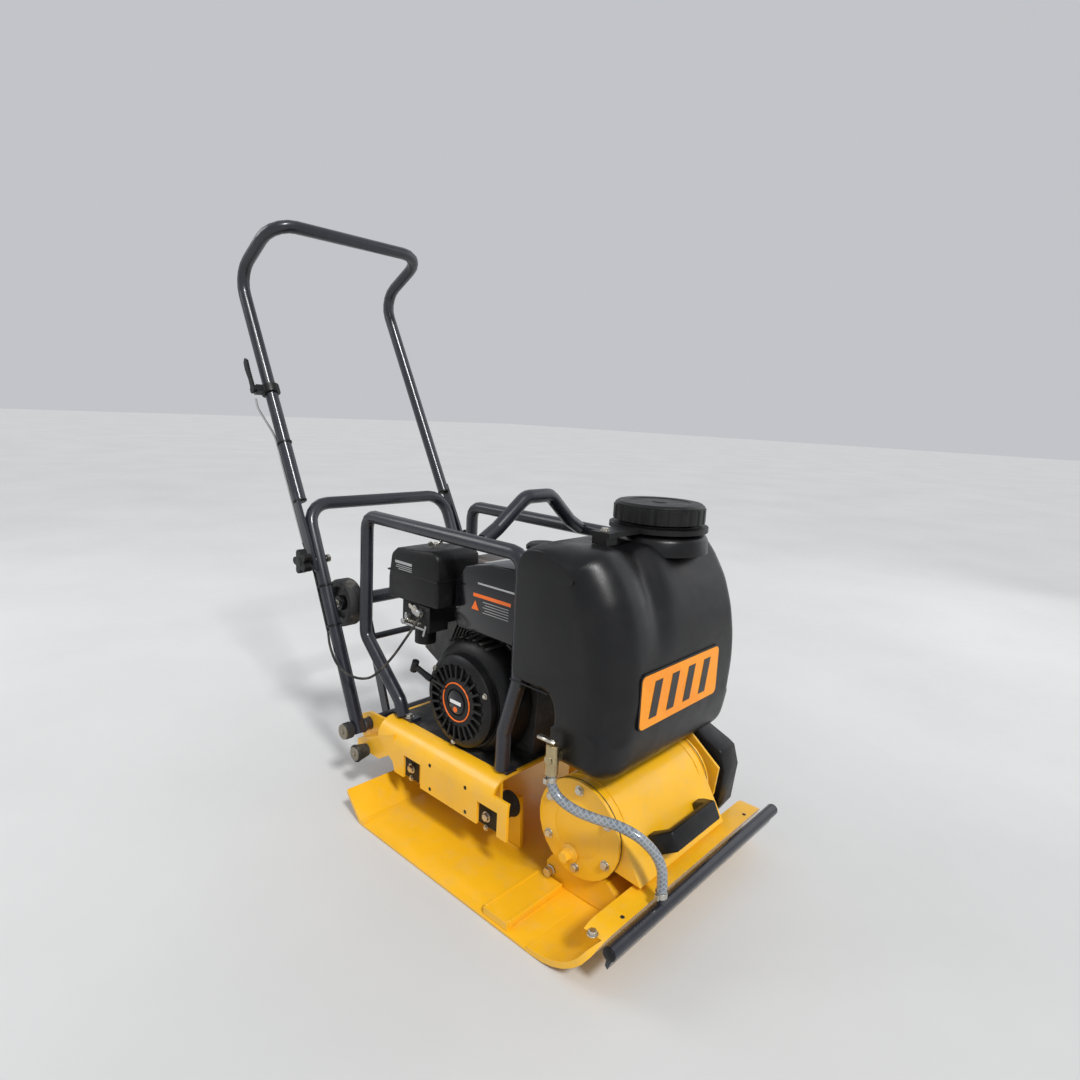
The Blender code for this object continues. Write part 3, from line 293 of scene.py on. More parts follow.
def turned_box(low, high, angle, spot, bm):
    """Block turned about X through its own origin, then moved to spot and added to bm."""
    part = box(low, high)
    bmesh.ops.rotate(part, verts=part.verts, cent=(0, 0, 0), matrix=Matrix.Rotation(angle, 3, "X"))
    for v in part.verts:
        v.co += Vector(spot) * MM
    scratch = bpy.data.meshes.new("scratch")
    part.to_mesh(scratch)
    part.free()
    bm.from_mesh(scratch)
    bpy.data.meshes.remove(scratch)


def extrude(outline, start, end, axis="x", bm=None):
    """Prism of a 2-D outline: (y, z) for x, (x, z) for y and (x, y) for z."""
    bm = bm or bmesh.new()

    def spot(p, s):
        return Vector({"x": (s, p[0], p[1]), "y": (p[0], s, p[1]), "z": (p[0], p[1], s)}[axis]) * MM
    low = [bm.verts.new(spot(p, start)) for p in outline]
    high = [bm.verts.new(spot(p, end)) for p in outline]
    bm.faces.new(low)
    bm.faces.new(list(reversed(high)))
    for k in range(len(outline)):
        j = (k + 1) % len(outline)
        bm.faces.new((low[k], high[k], high[j], low[j]))
    return bm


def smooth_points(points, steps=8):
    """Catmull-Rom route through the points."""
    points = [Vector(p) for p in points]
    ends = [points[0] * 2 - points[1]] + points + [points[-1] * 2 - points[-2]]
    route = []
    for a, b, c, d in zip(ends, ends[1:], ends[2:], ends[3:]):
        for k in range(steps):
            t = k / steps
            route.append(0.5 * (2 * b + (c - a) * t + (2 * a - 5 * b + 4 * c - d) * t * t
                                + (3 * b - a - 3 * c + d) * t ** 3))
    return route + [points[-1]]


def tube(route, radius, sides, bm=None):
    """Round bar along a route."""
    bm = bm or bmesh.new()
    route = [Vector(p) for p in route]
    side = None
    rings = []
    for k, p in enumerate(route):
        run = (route[min(k + 1, len(route) - 1)] - route[max(k - 1, 0)]).normalized()
        if side is None:
            side = run.orthogonal().normalized()
        side = (side - run * side.dot(run)).normalized()
        up = run.cross(side)
        rings.append([bm.verts.new((p + (side * math.cos(math.tau * j / sides)
                                         + up * math.sin(math.tau * j / sides)) * radius) * MM)
                      for j in range(sides)])
    for a, b in zip(rings, rings[1:]):
        for k in range(sides):
            j = (k + 1) % sides
            bm.faces.new((a[k], a[j], b[j], b[k]))
    bm.faces.new(list(reversed(rings[0])))
    bm.faces.new(rings[-1])
    return bm


def torus(centre, axis, radius, section, sides, round_sides):
    """Ring of round section."""
    bm = bmesh.new()
    turn = turn_to(axis)
    rings = []
    for k in range(sides):
        a = math.tau * k / sides
        ring = []
        for j in range(round_sides):
            b = math.tau * j / round_sides
            reach = radius + section * math.cos(b)
            ring.append(bm.verts.new((Vector(centre) + turn @ Vector(
                (reach * math.cos(a), reach * math.sin(a), section * math.sin(b)))) * MM))
        rings.append(ring)
    for k in range(sides):
        a, b = rings[k], rings[(k + 1) % sides]
        for j in range(round_sides):
            i = (j + 1) % round_sides
            bm.faces.new((a[j], b[j], b[i], a[i]))
    return bm


def add_plain(name, bm, mat):
    """Object from a bmesh, with its finish, on no body yet."""
    bmesh.ops.recalc_face_normals(bm, faces=bm.faces)
    mesh = bpy.data.meshes.new(name)
    bm.to_mesh(mesh)
    bm.free()
    for polygon in mesh.polygons:
        polygon.use_smooth = True
    obj = bpy.data.objects.new(name, mesh)
    bpy.context.scene.collection.objects.link(obj)
    mesh.materials.append(MATS[mat])
    return obj


def add(name, bm, mat, body, bevel=0.0, angle=38):
    """Object from a bmesh, with its finish and edge radius, riding on body."""
    obj = add_plain(name, bm, mat)
    obj.data.set_sharp_from_angle(angle=math.radians(angle))
    if bevel:
        mod = obj.modifiers.new("edge", "BEVEL")
        mod.width = bevel * MM
        mod.segments = 2
        mod.limit_method = "ANGLE"
        mod.angle_limit = math.radians(angle)
        mod.harden_normals = True
    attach(obj, body)
    return obj


def dressed(node, mat=None, bevel=0.8):
    """A copy of a CAD node with welded corners and small edge radii, shown in its place."""
    source = frame["nodes"][node]
    bm = bmesh.new()
    bm.from_mesh(source.data)
    bmesh.ops.remove_doubles(bm, verts=bm.verts, dist=0.00002)
    bmesh.ops.dissolve_limit(bm, angle_limit=math.radians(0.6), verts=bm.verts, edges=bm.edges)
    plain = bmesh.new()
    places = [plain.verts.new(v.co) for v in bm.verts]
    bm.verts.index_update()
    for face in bm.faces:
        plain.faces.new([places[v.index] for v in face.verts])
    bm.free()
    obj = add("skin_" + node, plain, mat or NODE_MAT[SLOT_OF[node]], BODY_OF[node], bevel)
    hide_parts(node)
    return obj


BOLTS = {}


def bolt(centre, axis, size=8.0, body="chassis", washer=True, mat="zinc"):
    """Hex head with a washer and a domed face, seated at centre and pointing along axis."""
    bm = BOLTS.setdefault((body, mat), bmesh.new())
    head = size * 0.9
    if washer:
        lathe([(0, 0), (size * 1.15, 0), (size * 1.15, 1.5), (0, 1.5)], centre, axis, 24, bm)
    lift = 1.5 if washer else 0.0
    lathe([(0, lift), (head, lift), (head, lift + size * 0.5), (head * 0.86, lift + size * 0.62),
           (0, lift + size * 0.62)], centre, axis, 6, bm)


def finish_bolts():
    """One object for all the bolts of a body in one finish."""
    for (body, mat), bm in BOLTS.items():
        add(f"bolts_{mat}_{body}", bm, mat, body, 0.3, 30)


# ---------------------------------------------------------------- skins of the CAD nodes

SPECIAL = {"star_knob_left", "star_knob_right", "tank_cap", "recoil_cover", "wheel_left",
           "wheel_right", "water_hose", "water_tank", "recoil_grip"}
OTHER_MAT = {"muffler": "muffler", "throttle_cable_upper": "silver", "valve_lever": "zinc",
             "carburettor": "black", "crankcase": "iron", "cylinder_head": "iron"}
EDGE = {"water_tank": 2.5, "fuel_tank": 2.5, "air_cleaner": 2.0, "belt_cover": 2.0, "base_plate": 0.7,
        "deck": 0.7, "front_handle": 1.6, "throttle_cable_upper": 0.0, "throttle_cable_lower": 0.0,
        "throttle_cable_loop": 0.0, "valve_lever": 0.6, "tank_strap": 0.5, "muffler": 2.5}


def skins():
    """A skin on every CAD node that no function below models on its own."""
    for node in sorted(frame["nodes"]):
        if node not in SPECIAL:
            dressed(node, OTHER_MAT.get(node), EDGE.get(node, 0.8))


# ---------------------------------------------------------------- handle

def leg_y(z):
    """Middle of the lower handle's leg at a height."""
    return 300 + 0.47 * (z - 128)


def upper_y(z):
    """Middle of the upper handle's leg at a height."""
    return FOLD_Y + 0.552 * (z - FOLD_Z)


def star_knob(side, label):
    """Five-lobed knob with its stud through the fold joint."""
    body = f"star_knob_{label}"
    y, z = FOLD_Y, FOLD_Z
    face = side * 204.8
    outline = []
    for k in range(90):
        a = math.tau * k / 90
        reach = 21.5 + 4.6 * math.cos(5 * a) - 0.8 * math.cos(10 * a)
        outline.append((y + reach * math.cos(a), z + reach * math.sin(a)))
    low, high = sorted((side * 213, side * 230))
    knob = extrude(outline, low, high)
    lathe([(9, 0), (9, 9), (0, 9)], (face, y, z), (side, 0, 0), 24, knob)
    lathe([(11, 0), (11, 1.5), (7, 2.2), (0, 2.2)], (side * 229.4, y, z), (side, 0, 0), 28, knob)
    obj = add(f"knob_{label}", knob, "black", body, 2.2, 50)
    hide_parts(body)
    stud = lathe([(5, 0), (5, 52), (4.2, 53), (0, 53)], (side * 213, y, z), (-side, 0, 0), 20)
    lathe([(8.6, 44.2), (8.6, 50.6), (0, 50.6)], (side * 213, y, z), (-side, 0, 0), 6, stud)
    add(f"knob_stud_{label}", stud, "zinc", body, 0.3, 30)


def cable_tie(spot, along, body, name, radius=14.3):
    """Strap and lock round a handle tube."""
    strap = lathe([(radius, -2), (radius + 1.1, -2), (radius + 1.1, 2), (radius, 2), (radius, -2)],
                  spot, along, 24)
    out = Vector(along).cross(Vector((1, 0, 0))).normalized()
    lock = Vector(spot) + out * (radius + 2)
    box(lock - Vector((2.6, 2, 3)), lock + Vector((2.6, 2, 3)), strap)
    add(name, strap, "black", body, 0.2, 50)


def handle_parts():
    for side, label in SIDES:
        star_knob(side, label)
        cap = lathe([(0, 0), (14.4, 0), (14.4, 3.0), (12.5, 4.4), (0, 4.4)], (side * 193, 507.5, 556),
                    (0, -0.483, -0.8755), 24)
        add(f"tube_end_{label}", cap, "black", "upper_handle", 0.4)
        bolt((side * 199.5, 512, 566), (side, 0, 0), 5.5, "upper_handle")
        rubber = torus((side * 172, 300, 128), (1, 0, 0), 13.0, 2.0, 30, 8)
        add(f"pivot_lip_{label}", rubber, "rubber", "lower_handle")
    cable_tie((-193, 570.5, 670), UPPER_RUN, "upper_handle", "tie_upper")
    cable_tie((-183, 423, 390), LEG_RUN, "lower_handle", "tie_lower_a")
    cable_tie((-183, 388, 315), LEG_RUN, "lower_handle", "tie_lower_b")
    for z in (773.5, 785.5):
        bolt((-227.5, upper_y(z), z), (-1, 0, 0), 3.4, "upper_handle", False)
    knurl = bmesh.new()
    for k in range(7):
        middle = Vector((-230.6, 630.6, 779)) + Vector(UPPER_RUN) * (30 + k * 5)
        box(middle - Vector((3.2, 5.2, 0.7)), middle + Vector((3.2, 5.2, 0.7)), knurl)
    add("lever_grip_ribs", knurl, "black", "throttle_lever", 0.2, 40)


def throttle_cable():
    """The two stretches of cable that cross a joint of the handle."""
    loop = [(-192, leg_y(299) + CABLE_BEHIND, 299), (-198, leg_y(276) + 10, 276),
            (-204, leg_y(252) - 10, 254), (-202, 318, 240), (-196, 282, 238), (-190, 250, 248),
            (-184, 222, 272), (-176, 196, 304), (-166, 176, 338), (-155, 166, 362), (-144.5, 164, 378)]
    obj = add_plain("cable_loop_skin", tube(smooth_points(loop, 8), CABLE_RADIUS, 12), "rubber")
    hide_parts("throttle_cable_loop")
    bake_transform(obj)
    top = Vector((-202, upper_y(472) + CABLE_BEHIND, 472))
    foot = Vector((-192, leg_y(412) + CABLE_BEHIND, 412))
    bridge = [top, top.lerp(foot, 0.33), top.lerp(foot, 0.67), foot]
    obj = add_plain("cable_bridge", tube(smooth_points(bridge, 10), CABLE_RADIUS, 12), "rubber")
    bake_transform(obj)


# ---------------------------------------------------------------- water system

def rounded(left, low, right, high, radius):
    """Outline of a rectangle with round corners."""
    outline = []
    corners = ((right - radius, high - radius, 0), (left + radius, high - radius, 90),
               (left + radius, low + radius, 180), (right - radius, low + radius, 270))
    for x, z, first in corners:
        for k in range(7):
            a = math.radians(first + 15 * k)
            outline.append((x + radius * math.cos(a), z + radius * math.sin(a)))
    return outline


def tank_parts():
    """Ridged cap, neck thread, strap bolts and the front plate."""
    seat = 592.3
    cap = bmesh.new()
    profile = []
    for k in range(144):
        a = math.tau * k / 144
        reach = 74.2 + (1.8 if k % 6 < 4 else 0.0)
        profile.append((FILLER_X + reach * math.cos(a), FILLER_Y + reach * math.sin(a)))
    extrude(profile, seat, seat + 24, "z", cap)
    lathe([(74, 22), (74, 27), (69, 30.6), (52, 31.0), (50, 29.6), (14, 29.6), (12, 31.0), (0, 31.0)],
          (FILLER_X, FILLER_Y, seat), (0, 0, 1), 72, cap)
    obj = add("cap_ridged", cap, "black", "tank_cap", 0.5, 30)
    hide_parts("tank_cap")
    threads = lathe([(66.2, 0), (67.4, 1), (66.2, 2)], (FILLER_X, FILLER_Y, 588.5), (0, 0, 1), 60)
    add("neck_thread", threads, "tank", "chassis")
    for spot in ((-73, FILLER_Y, 586), (135, FILLER_Y, 586)):
        bolt(spot, (0, 0, 1), 6.5, "chassis")
    left, right, low, high = -111, 111, 314, 395
    rim = extrude(rounded(left - 3, low - 3, right + 3, high + 3, 12), -300.9, -297.6, "y")
    add("front_panel_rim", rim, "tank", "chassis", 0.4)
    face = extrude(rounded(left, low, right, high, 9), -301.5, -300.4, "y")
    add("front_panel", face, "panel", "chassis", 0.3)
    bars = bmesh.new()
    for k in range(4):
        x = left + 22 + k * 47
        extrude([(x, low + 13), (x + 20, low + 13), (x + 32, high - 13), (x + 12, high - 13)],
                -302.1, -301.4, "y", bars)
    add("front_panel_bars", bars, "ink", "chassis", 0.2)
    seam = bmesh.new()
    for x in (-169.0, 187.0):
        box((x - 0.8, -176, 345), (x + 0.8, -96, 347.4), seam)
    add("tank_seam", seam, "tank", "chassis", 0.3)


TANK_SECTION = [(-92, 532), (-92, 352), (-104, 344), (-160, 342), (-172, 330), (-174, 256), (-186, 240),
                (-250, 228), (-272, 232), (-287, 250), (-296, 300), (-300, 360), (-298, 405), (-290, 452),
                (-274, 500), (-250, 540), (-226, 566), (-126, 566), (-104, 556)]


def even_section():
    """The tank's (y, z) outline with its corners rounded off and points at an even step."""
    points = [Vector(p) for p in TANK_SECTION]
    for _ in range(2):
        cut = []
        for a, b in zip(points, points[1:] + points[:1]):
            if (b - a).length > 30:
                cut += [a + (b - a).normalized() * 8, b - (b - a).normalized() * 8]
            else:
                cut += [a.lerp(b, 0.25), a.lerp(b, 0.75)]
        points = cut
    even = []
    for a, b in zip(points, points[1:] + points[:1]):
        count = max(1, round((b - a).length / 6.0))
        even += [a.lerp(b, k / count) for k in range(count)]
    return even


def tank_skin():
    """Moulded tank with big end radii, a valley between its two lobes and grooves for the posts."""
    section = even_section()
    normals = []
    for a, b in zip(section[-1:] + section[:-1], section[1:] + section[:1]):
        way = (b - a).normalized()
        normals.append(Vector((way.y, -way.x)))
    middle = Vector((-200, 420))
    if sum(n.dot(p - middle) for n, p in zip(normals, section)) < 0:
        normals = [-n for n in normals]
    low, high, left_round, right_round = -168.0, 186.0, 58.0, 30.0
    slices = [low + left_round * (1 - math.cos(math.pi / 2 * k / 16)) for k in range(17)]
    flat = high - low - left_round - right_round
    slices += [low + left_round + flat * k / 44 for k in range(1, 44)]
    slices += [high - right_round * (1 - math.cos(math.pi / 2 * (12 - k) / 12)) for k in range(13)]
    bm = bmesh.new()
    rings = []
    for x in slices:
        edge, reach = (x - low, left_round) if x < 0 else (high - x, right_round)
        inset = reach - math.sqrt(max(0.0, reach ** 2 - max(0.0, reach - edge) ** 2))
        ring = []
        for p, n in zip(section, normals):
            share = 0.16 + 0.84 * min(1.0, max(0.0, (-150 - p.x) / 90))
            if p.y < 300:
                share *= 0.55
            fade = min(1.0, max(0.0, (p.y - 400) / 110)) * min(1.0, max(0.0, (-150 - p.x) / 60))
            line = -62 + (p.y - 400) * 0.12
            valley = 11.0 * fade * math.exp(-((x - line) / 26) ** 2)
            spot = p - n * (inset * share + valley)
            ring.append(bm.verts.new(Vector((x, spot.x, spot.y)) * MM))
        rings.append(ring)
    for a, b in zip(rings, rings[1:]):
        for k in range(len(a)):
            j = (k + 1) % len(a)
            bm.faces.new((a[k], a[j], b[j], b[k]))
    bm.faces.new(list(reversed(rings[0])))
    bm.faces.new(rings[-1])
    obj = add("tank_shell", bm, "tank", "chassis", 0.0, 50)
    cutters = bmesh.new()
    for side in (-1, 1):
        near, far = sorted((side * 124.5, side * 155.5))
        box((near, -103.5, 320), (far, -60, 600), cutters)
    mesh = bpy.data.meshes.new("post_grooves")
    cutters.to_mesh(mesh)
    cutters.free()
    tool = bpy.data.objects.new("post_grooves", mesh)
    bpy.context.scene.collection.objects.link(tool)
    cut = obj.modifiers.new("grooves", "BOOLEAN")
    cut.object = tool
    cut.operation = "DIFFERENCE"
    bpy.context.view_layer.update()
    made = bpy.data.meshes.new_from_object(obj.evaluated_get(bpy.context.evaluated_depsgraph_get()))
    obj.modifiers.clear()
    obj.data = made
    bpy.data.objects.remove(tool)
    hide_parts("water_tank")
    neck = lathe([(84, -22), (82, 0), (78, 6), (70, 9), (66, 14), (66, 26), (58, 26), (58, -20)],
                 (FILLER_X, FILLER_Y, 566), (0, 0, 1), 72)
    add("tank_neck", neck, "tank", "chassis", 0.6)


def hose_parts():
    """Hose with its clips, the valve's nuts, the bar's plugs, and dark discs painted as the shade in the
    sprinkler bar's holes.
    """
    route = [(-186, -205, 237.5), (-186, -207, 222), (-184, -220, 206), (-178, -246, 196),
             (-168, -276, 192), (-156, -306, 190), (-144, -334, 181), (-134, -354, 164),
             (-127, -364, 142), (-124.4, -366, 118), (-124, -366, 95.4)]
    hose = add("hose", tube(smooth_points(route, 10), 7.5, 24), "hose", "chassis")
    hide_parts("water_hose")
    for centre in ((VALVE_X, VALVE_Y, 231), (-124, -366, 101)):
        clip = lathe([(7.6, -4), (9.0, -4), (9.0, 4), (7.6, 4), (7.6, -4)], centre, (0, 0, 1), 28)
        low = Vector(centre) + Vector((-14, -3, -4))
        box(low, low + Vector((6, 6, 8)), clip)
        add(f"hose_clip_{int(-centre[1])}", clip, "zinc", "chassis", 0.3)
    hexes = lathe([(10.6, 0), (10.6, 9), (0, 9)], (VALVE_X, VALVE_Y, 246), (0, 0, 1), 6)
    lathe([(9.2, 0), (9.2, 8), (0, 8)], (VALVE_X + 4, VALVE_Y, 262), (1, 0, 0), 6, hexes)
    add("valve_hexes", hexes, "brass", "chassis", 0.4, 30)
    bolt((VALVE_X, VALVE_Y, 289.6), (0, 0, 1), 4.0, "valve_lever", False)
    # Dark discs painted as the shade inside the sprinkler bar's holes.
    holes = bmesh.new()
    for k in range(-9, 10):
        lathe([(0, 0), (1.8, 0), (1.8, 0.5), (0, 0.5)], (k * 25, -369.5, 68.0), (0, -0.6, -0.8), 12,
              holes)
    add("sprinkler_holes", holes, "hole_shade", "chassis")
    for side, label in SIDES:
        plug = lathe([(0, 0), (9.4, 0), (9.4, 2.2), (7.6, 3.4), (0, 3.4)], (side * 243, -366, 77),
                     (side, 0, 0), 24)
        add(f"bar_plug_{label}", plug, "black", "chassis", 0.3)
    # Dark discs painted as the shade inside two holes in the plate's front ledge.
    ledge_holes = bmesh.new()
    for x in (-181.5, 181.5):
        lathe([(3.2, 0), (3.2, 0.5), (0, 0.5)], (x, -342, 81.9), (0, 0, 1), 20, ledge_holes)
    add("ledge_holes", ledge_holes, "hole_shade", "chassis")


# ---------------------------------------------------------------- engine

def recoil_parts():
    """Ribbed starter cover with its ring and centre."""
    y, z = CRANK_Y, CRANK_Z
    bm = bmesh.new()
    lathe([(0, 0), (22, 0), (24, -2), (26, -3)], (-148, y, z), (-1, 0, 0), 60, bm)
    lathe([(66, 0.5), (70, 0), (78, -3), (82, -7), (82, -20), (78, -20), (77, -8), (66, -5),
           (66, 0.5)], (-149, y, z), (-1, 0, 0), 72, bm)
    lathe([(24, 0), (45, 0), (46, -3.5), (24, -3.5), (24, 0)], (-149, y, z), (-1, 0, 0), 60, bm)
    for k in range(24):
        turned_box((-152.5, -2.1, 43), (-146, 2.1, 68), math.tau * k / 24, (0, y, z), bm)
    obj = add("recoil_grille", bm, "black", "chassis", 0.5, 40)
    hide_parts("recoil_cover")
    # Dark disc inside the cover: painted shade seen through the grille's slots.
    dark = lathe([(0, 0), (66, 0), (66, -1), (0, -1)], (-140, y, z), (-1, 0, 0), 48)
    add("recoil_shade_disc", dark, "hole_shade", "chassis")
    ring = torus((-149.4, y, z), (1, 0, 0), 34.0, 1.3, 60, 10)
    add("recoil_ring", ring, "orange", "chassis")
    disc = lathe([(0, 0.9), (19, 0.9), (20.5, 0), (0, 0)], (-149.8, y, z), (-1, 0, 0), 48)
    add("recoil_centre", disc, "gloss", "chassis")
    dash = bmesh.new()
    box((-151.4, y - 14, z - 3), (-150.5, y + 14, z + 3), dash)
    add("recoil_dash", dash, "white", "chassis", 0.2)
    dot = lathe([(0, 0.6), (5, 0.6), (5, 0), (0, 0)], (-150.6, y, z - 13), (-1, 0, 0), 24)
    add("recoil_dot", dot, "orange", "chassis")
    for a in (35, 155, 275):
        b = math.radians(a)
        bolt((-145.6, y + 76 * math.cos(b), z + 76 * math.sin(b)), (-1, 0, 0), 4.5)


def fan_vents():
    """Dark strips over the top of the fan housing, painted as the shade inside its slots."""
    vents = bmesh.new()
    for k in range(7):
        a = math.radians(58 + k * 9)
        spot = (-97, CRANK_Y + 108.2 * math.cos(a), CRANK_Z + 108.2 * math.sin(a))
        turned_box((-24, -2.6, -0.8), (24, 2.6, 0.8), a - math.pi / 2, spot, vents)
    add("fan_vents", vents, "hole_shade", "chassis", 0.2)


def starter_grip():
    """T grip, and the rope that stretches from the cover to it."""
    pull = Vector((-0.12, 0.93, 0.32)).normalized()
    start = Vector((-161, 104, 281))
    grip = lathe([(0, 0), (5.5, 0), (6.2, 8), (5.4, 20), (5.4, 40), (0, 40)], start, pull, 24)
    across = pull.cross(Vector((1, 0, 0))).normalized()
    middle = start + pull * 45
    bar = [middle + across * reach for reach in (-11, -10, 10, 11)]
    tube(bar, 6.5, 20, grip)
    obj = add("pull_grip", grip, "black", "recoil_grip", 0.8, 50)
    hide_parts("recoil_grip")
    exit_point = Vector((-150, 78, 270))
    rope = tube(smooth_points([exit_point, (-154, 90, 275), start], 12), 2.2, 12)
    obj = add_plain("starter_rope", rope, "rubber")
    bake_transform(obj)


def cooling_fins():
    tilt = math.radians(25)
    fins = bmesh.new()
    run = Vector((0, math.cos(tilt), math.sin(tilt)))
    for k in range(7):
        spot = Vector((0, 122.6, 282)) + run * (16 + k * 7.2)
        turned_box((-60, -1.0, -54), (60, 1.0, 54), tilt, spot, fins)
    add("cooling_fins", fins, "iron", "chassis", 0.3)


def air_cleaner_parts():
    seam = bmesh.new()
    box((-150.9, 109, 452), (-45.4, 255.5, 455), seam)
    add("air_cleaner_seam", seam, "black", "chassis", 0.6)
    nut = lathe([(0, 0), (6, 0), (6, 8), (4, 10), (0, 10)], (-98, 180, 501), (0, 0, 1), 20)
    for side in (-1, 1):
        wing = [(-98 + side * 4, 503), (-98 + side * 16, 506), (-98 + side * 17, 512),
                (-98 + side * 11, 514), (-98 + side * 4, 508)]
        extrude(wing, 178.4, 181.6, "y", nut)
    add("wing_nut", nut, "zinc", "chassis", 0.5)
    label = bmesh.new()
    for low, high, back in ((470, 475, 232), (466, 467.2, 228), (462.5, 463.7, 230), (459, 460.2, 222)):
        box((-150.8, 182, low), (-150.1, back, high), label)
    add("air_cleaner_label", label, "grey_print", "chassis", 0.1)


def carburettor_parts():
    """Float bowl, screws, linkage and governor spring."""
    bits = lathe([(0, 0), (15, 0), (15, 16), (11, 24), (0, 24)], (-116, 180, 322), (0, 0, 1), 28)
    lathe([(5, 0), (5, 4), (0, 4)], (-116, 180, 320), (0, 0, -1), 6, bits)
    lathe([(7, 0), (7, 9), (4, 12), (0, 12)], (-140, 165, 386), (-1, 0, 0), 20, bits)
    lathe([(5, 0), (5, 8), (0, 8)], (-140, 200, 372), (-1, 0, 0), 6, bits)
    lathe([(9, 0), (9, 3), (0, 3)], (-140, 182, 388), (-1, 0, 0), 24, bits)
    lathe([(3.4, 0), (3.4, 14), (0, 14)], (-128, 208, 376), (-0.9, 0.2, -0.2), 14, bits)
    lathe([(6, 0), (6, 6), (3, 9), (0, 9)], (-140, 212, 360), (-1, 0, 0), 6, bits)
    lathe([(2.4, 0), (2.4, 20), (0, 20)], (-140, 150, 364), (-0.2, 0.1, -1), 12, bits)
    box((-142.4, 152, 354), (-140.2, 210, 358), bits)
    add("carburettor_bits", bits, "silver", "chassis", 0.4)
    arm = extrude([(160, 378), (196, 390), (198, 396), (194, 398), (158, 384)], -144.2, -142.2)
    add("throttle_arm", arm, "zinc", "chassis", 0.3)
    coil = []
    for k in range(97):
        a = math.tau * k / 12
        coil.append((-146.5 + 2.8 * math.cos(a), 160 + k * 0.46, 366 + 2.8 * math.sin(a)))
    add("governor_spring", tube(coil, 0.55, 6), "zinc", "chassis")


def fuel_tank_parts():
    """Generic print on the tank's side, and the cap's grip."""
    stripe = bmesh.new()
    box((-126.7, -60, 466), (-126.0, 30, 469), stripe)
    add("fuel_tank_stripe", stripe, "silver", "chassis", 0.2)
    patch = bmesh.new()
    box((-126.8, -50, 443), (-126.1, 40, 449), patch)
    extrude([(26, 420), (44, 420), (35, 436)], -126.8, -126.1, "x", patch)
    add("fuel_tank_label", patch, "orange", "chassis", 0.1)
    lines = bmesh.new()
    for k in range(5):
        box((-126.7, -46, 418 + k * 4.6), (-126.1, 16 - 5 * (k % 2), 419.2 + k * 4.6), lines)
    add("fuel_tank_lines", lines, "grey_print", "chassis", 0.1)
    top = lathe([(28.4, 0), (28.4, 11), (0, 11)], (-6, -10, 516), (0, 0, 1), 32)
    add("fuel_cap_grip", top, "black", "fuel_cap", 0.8, 40)
    ribs = bmesh.new()
    for k in range(16):
        a = math.tau * k / 16
        spot = Vector((-6 + 30.6 * math.cos(a), -10 + 30.6 * math.sin(a), 523.5))
        box(spot - Vector((1.4, 1.4, 4)), spot + Vector((1.4, 1.4, 4)), ribs)
    add("fuel_cap_ribs", ribs, "black", "fuel_cap", 0.4)


def muffler_parts():
    # Dark strips painted as the shade inside the muffler's slots.
    slots = bmesh.new()
    for k in range(6):
        box((136.0, 166 + k * 15, 372), (136.9, 174 + k * 15, 432), slots)
    add("muffler_slots", slots, "hole_shade", "chassis", 0.2)
    for x, y in ((70, 150), (130, 256)):
        bolt((x, y, 452), (0, 0, 1), 5.0)


# ---------------------------------------------------------------- plate, exciter, deck

def exciter_side(side):
    """Cover bolts, gasket, boss and the seam of the hood at one end of the exciter."""
    y, z = EXCITER_Y, EXCITER_Z
    for k in range(6):
        a = math.radians(30 + 60 * k)
        bolt((side * 131.8, y + 64 * math.cos(a), z + 64 * math.sin(a)), (side, 0, 0), 7.0)
    initial = "lr"[side > 0]
    rim = lathe([(76.6, -7.0), (78.3, -7.0), (78.3, -5.6), (76.6, -5.6), (76.6, -7.0)],
                (side * 132.0, y, z), (side, 0, 0), 72)
    add(f"cover_gasket_{initial}", rim, "rubber", "chassis")
    disc = lathe([(0, 1.6), (40, 1.6), (46, 0), (0, 0)], (side * 131.7, y, z), (side, 0, 0), 60)
    add(f"exciter_boss_{initial}", disc, "yellow", "chassis", 0.6)
    seam = lathe([(76.1, -1), (77.2, -1), (77.2, 1), (76.1, 1), (76.1, -1)], (side * 108, y, z),
                 (1, 0, 0), 72)
    add(f"hood_seam_{initial}", seam, "yellow", "chassis", 0.3)


def mount_side(side):
    """Dark plates and bolts over the rubber mounts of one side, behind the skirt's windows."""
    plates = bmesh.new()
    for y in MOUNT_Y:
        low, high = sorted((side * 152.1, side * 152.9))
        box((low, y - 22, 63), (high, y + 22, 118), plates)
    add(f"dark_plates_at_mounts_{'lr'[side > 0]}", plates, "black", "chassis", 0.2)
    for y, z in ((165, 84), (-41, 80)):
        bolt((side * 152.4, y, z), (side, 0, 0), 8.0)
        bolt((side * 152.4, y, z - 20), (side, 0, 0), 4.6)


def skirt_holes():
    """Dark discs painted as the shade inside the small holes in the deck's left skirt."""
    holes = bmesh.new()
    for y, z in ((82, 132), (80, 88), (-12, 130), (-14, 87)):
        lathe([(0, 0), (3.4, 0), (3.4, 0.5), (0, 0.5)], (-177.8, y, z), (-1, 0, 0), 28, holes)
    add("skirt_holes", holes, "hole_shade", "chassis")


def pivot_washers(side, label):
    """Washer and bolt on the outer end of the handle's bush and of the stop buffer."""
    for node, body, reach in ((f"pivot_bush_{label}", "lower_handle", 0.92),
                              (f"stop_buffer_{label}", "chassis", 0.80)):
        low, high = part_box(node)
        face = (low.x if side < 0 else high.x) / MM
        middle = ((low.y + high.y) / 2 / MM, (low.z + high.z) / 2 / MM)
        radius = (high.z - low.z) / 2 / MM * reach
        disc = lathe([(0, 0), (radius, 0), (radius, 2.0), (radius - 1, 2.6), (0, 2.6)],
                     (face, *middle), (side, 0, 0), 32)
        add(f"washer_{node}", disc, "dull", body, 0.2)
        bolt((face + side * 2.4, *middle), (side, 0, 0), 5.5, body, False, "dull")


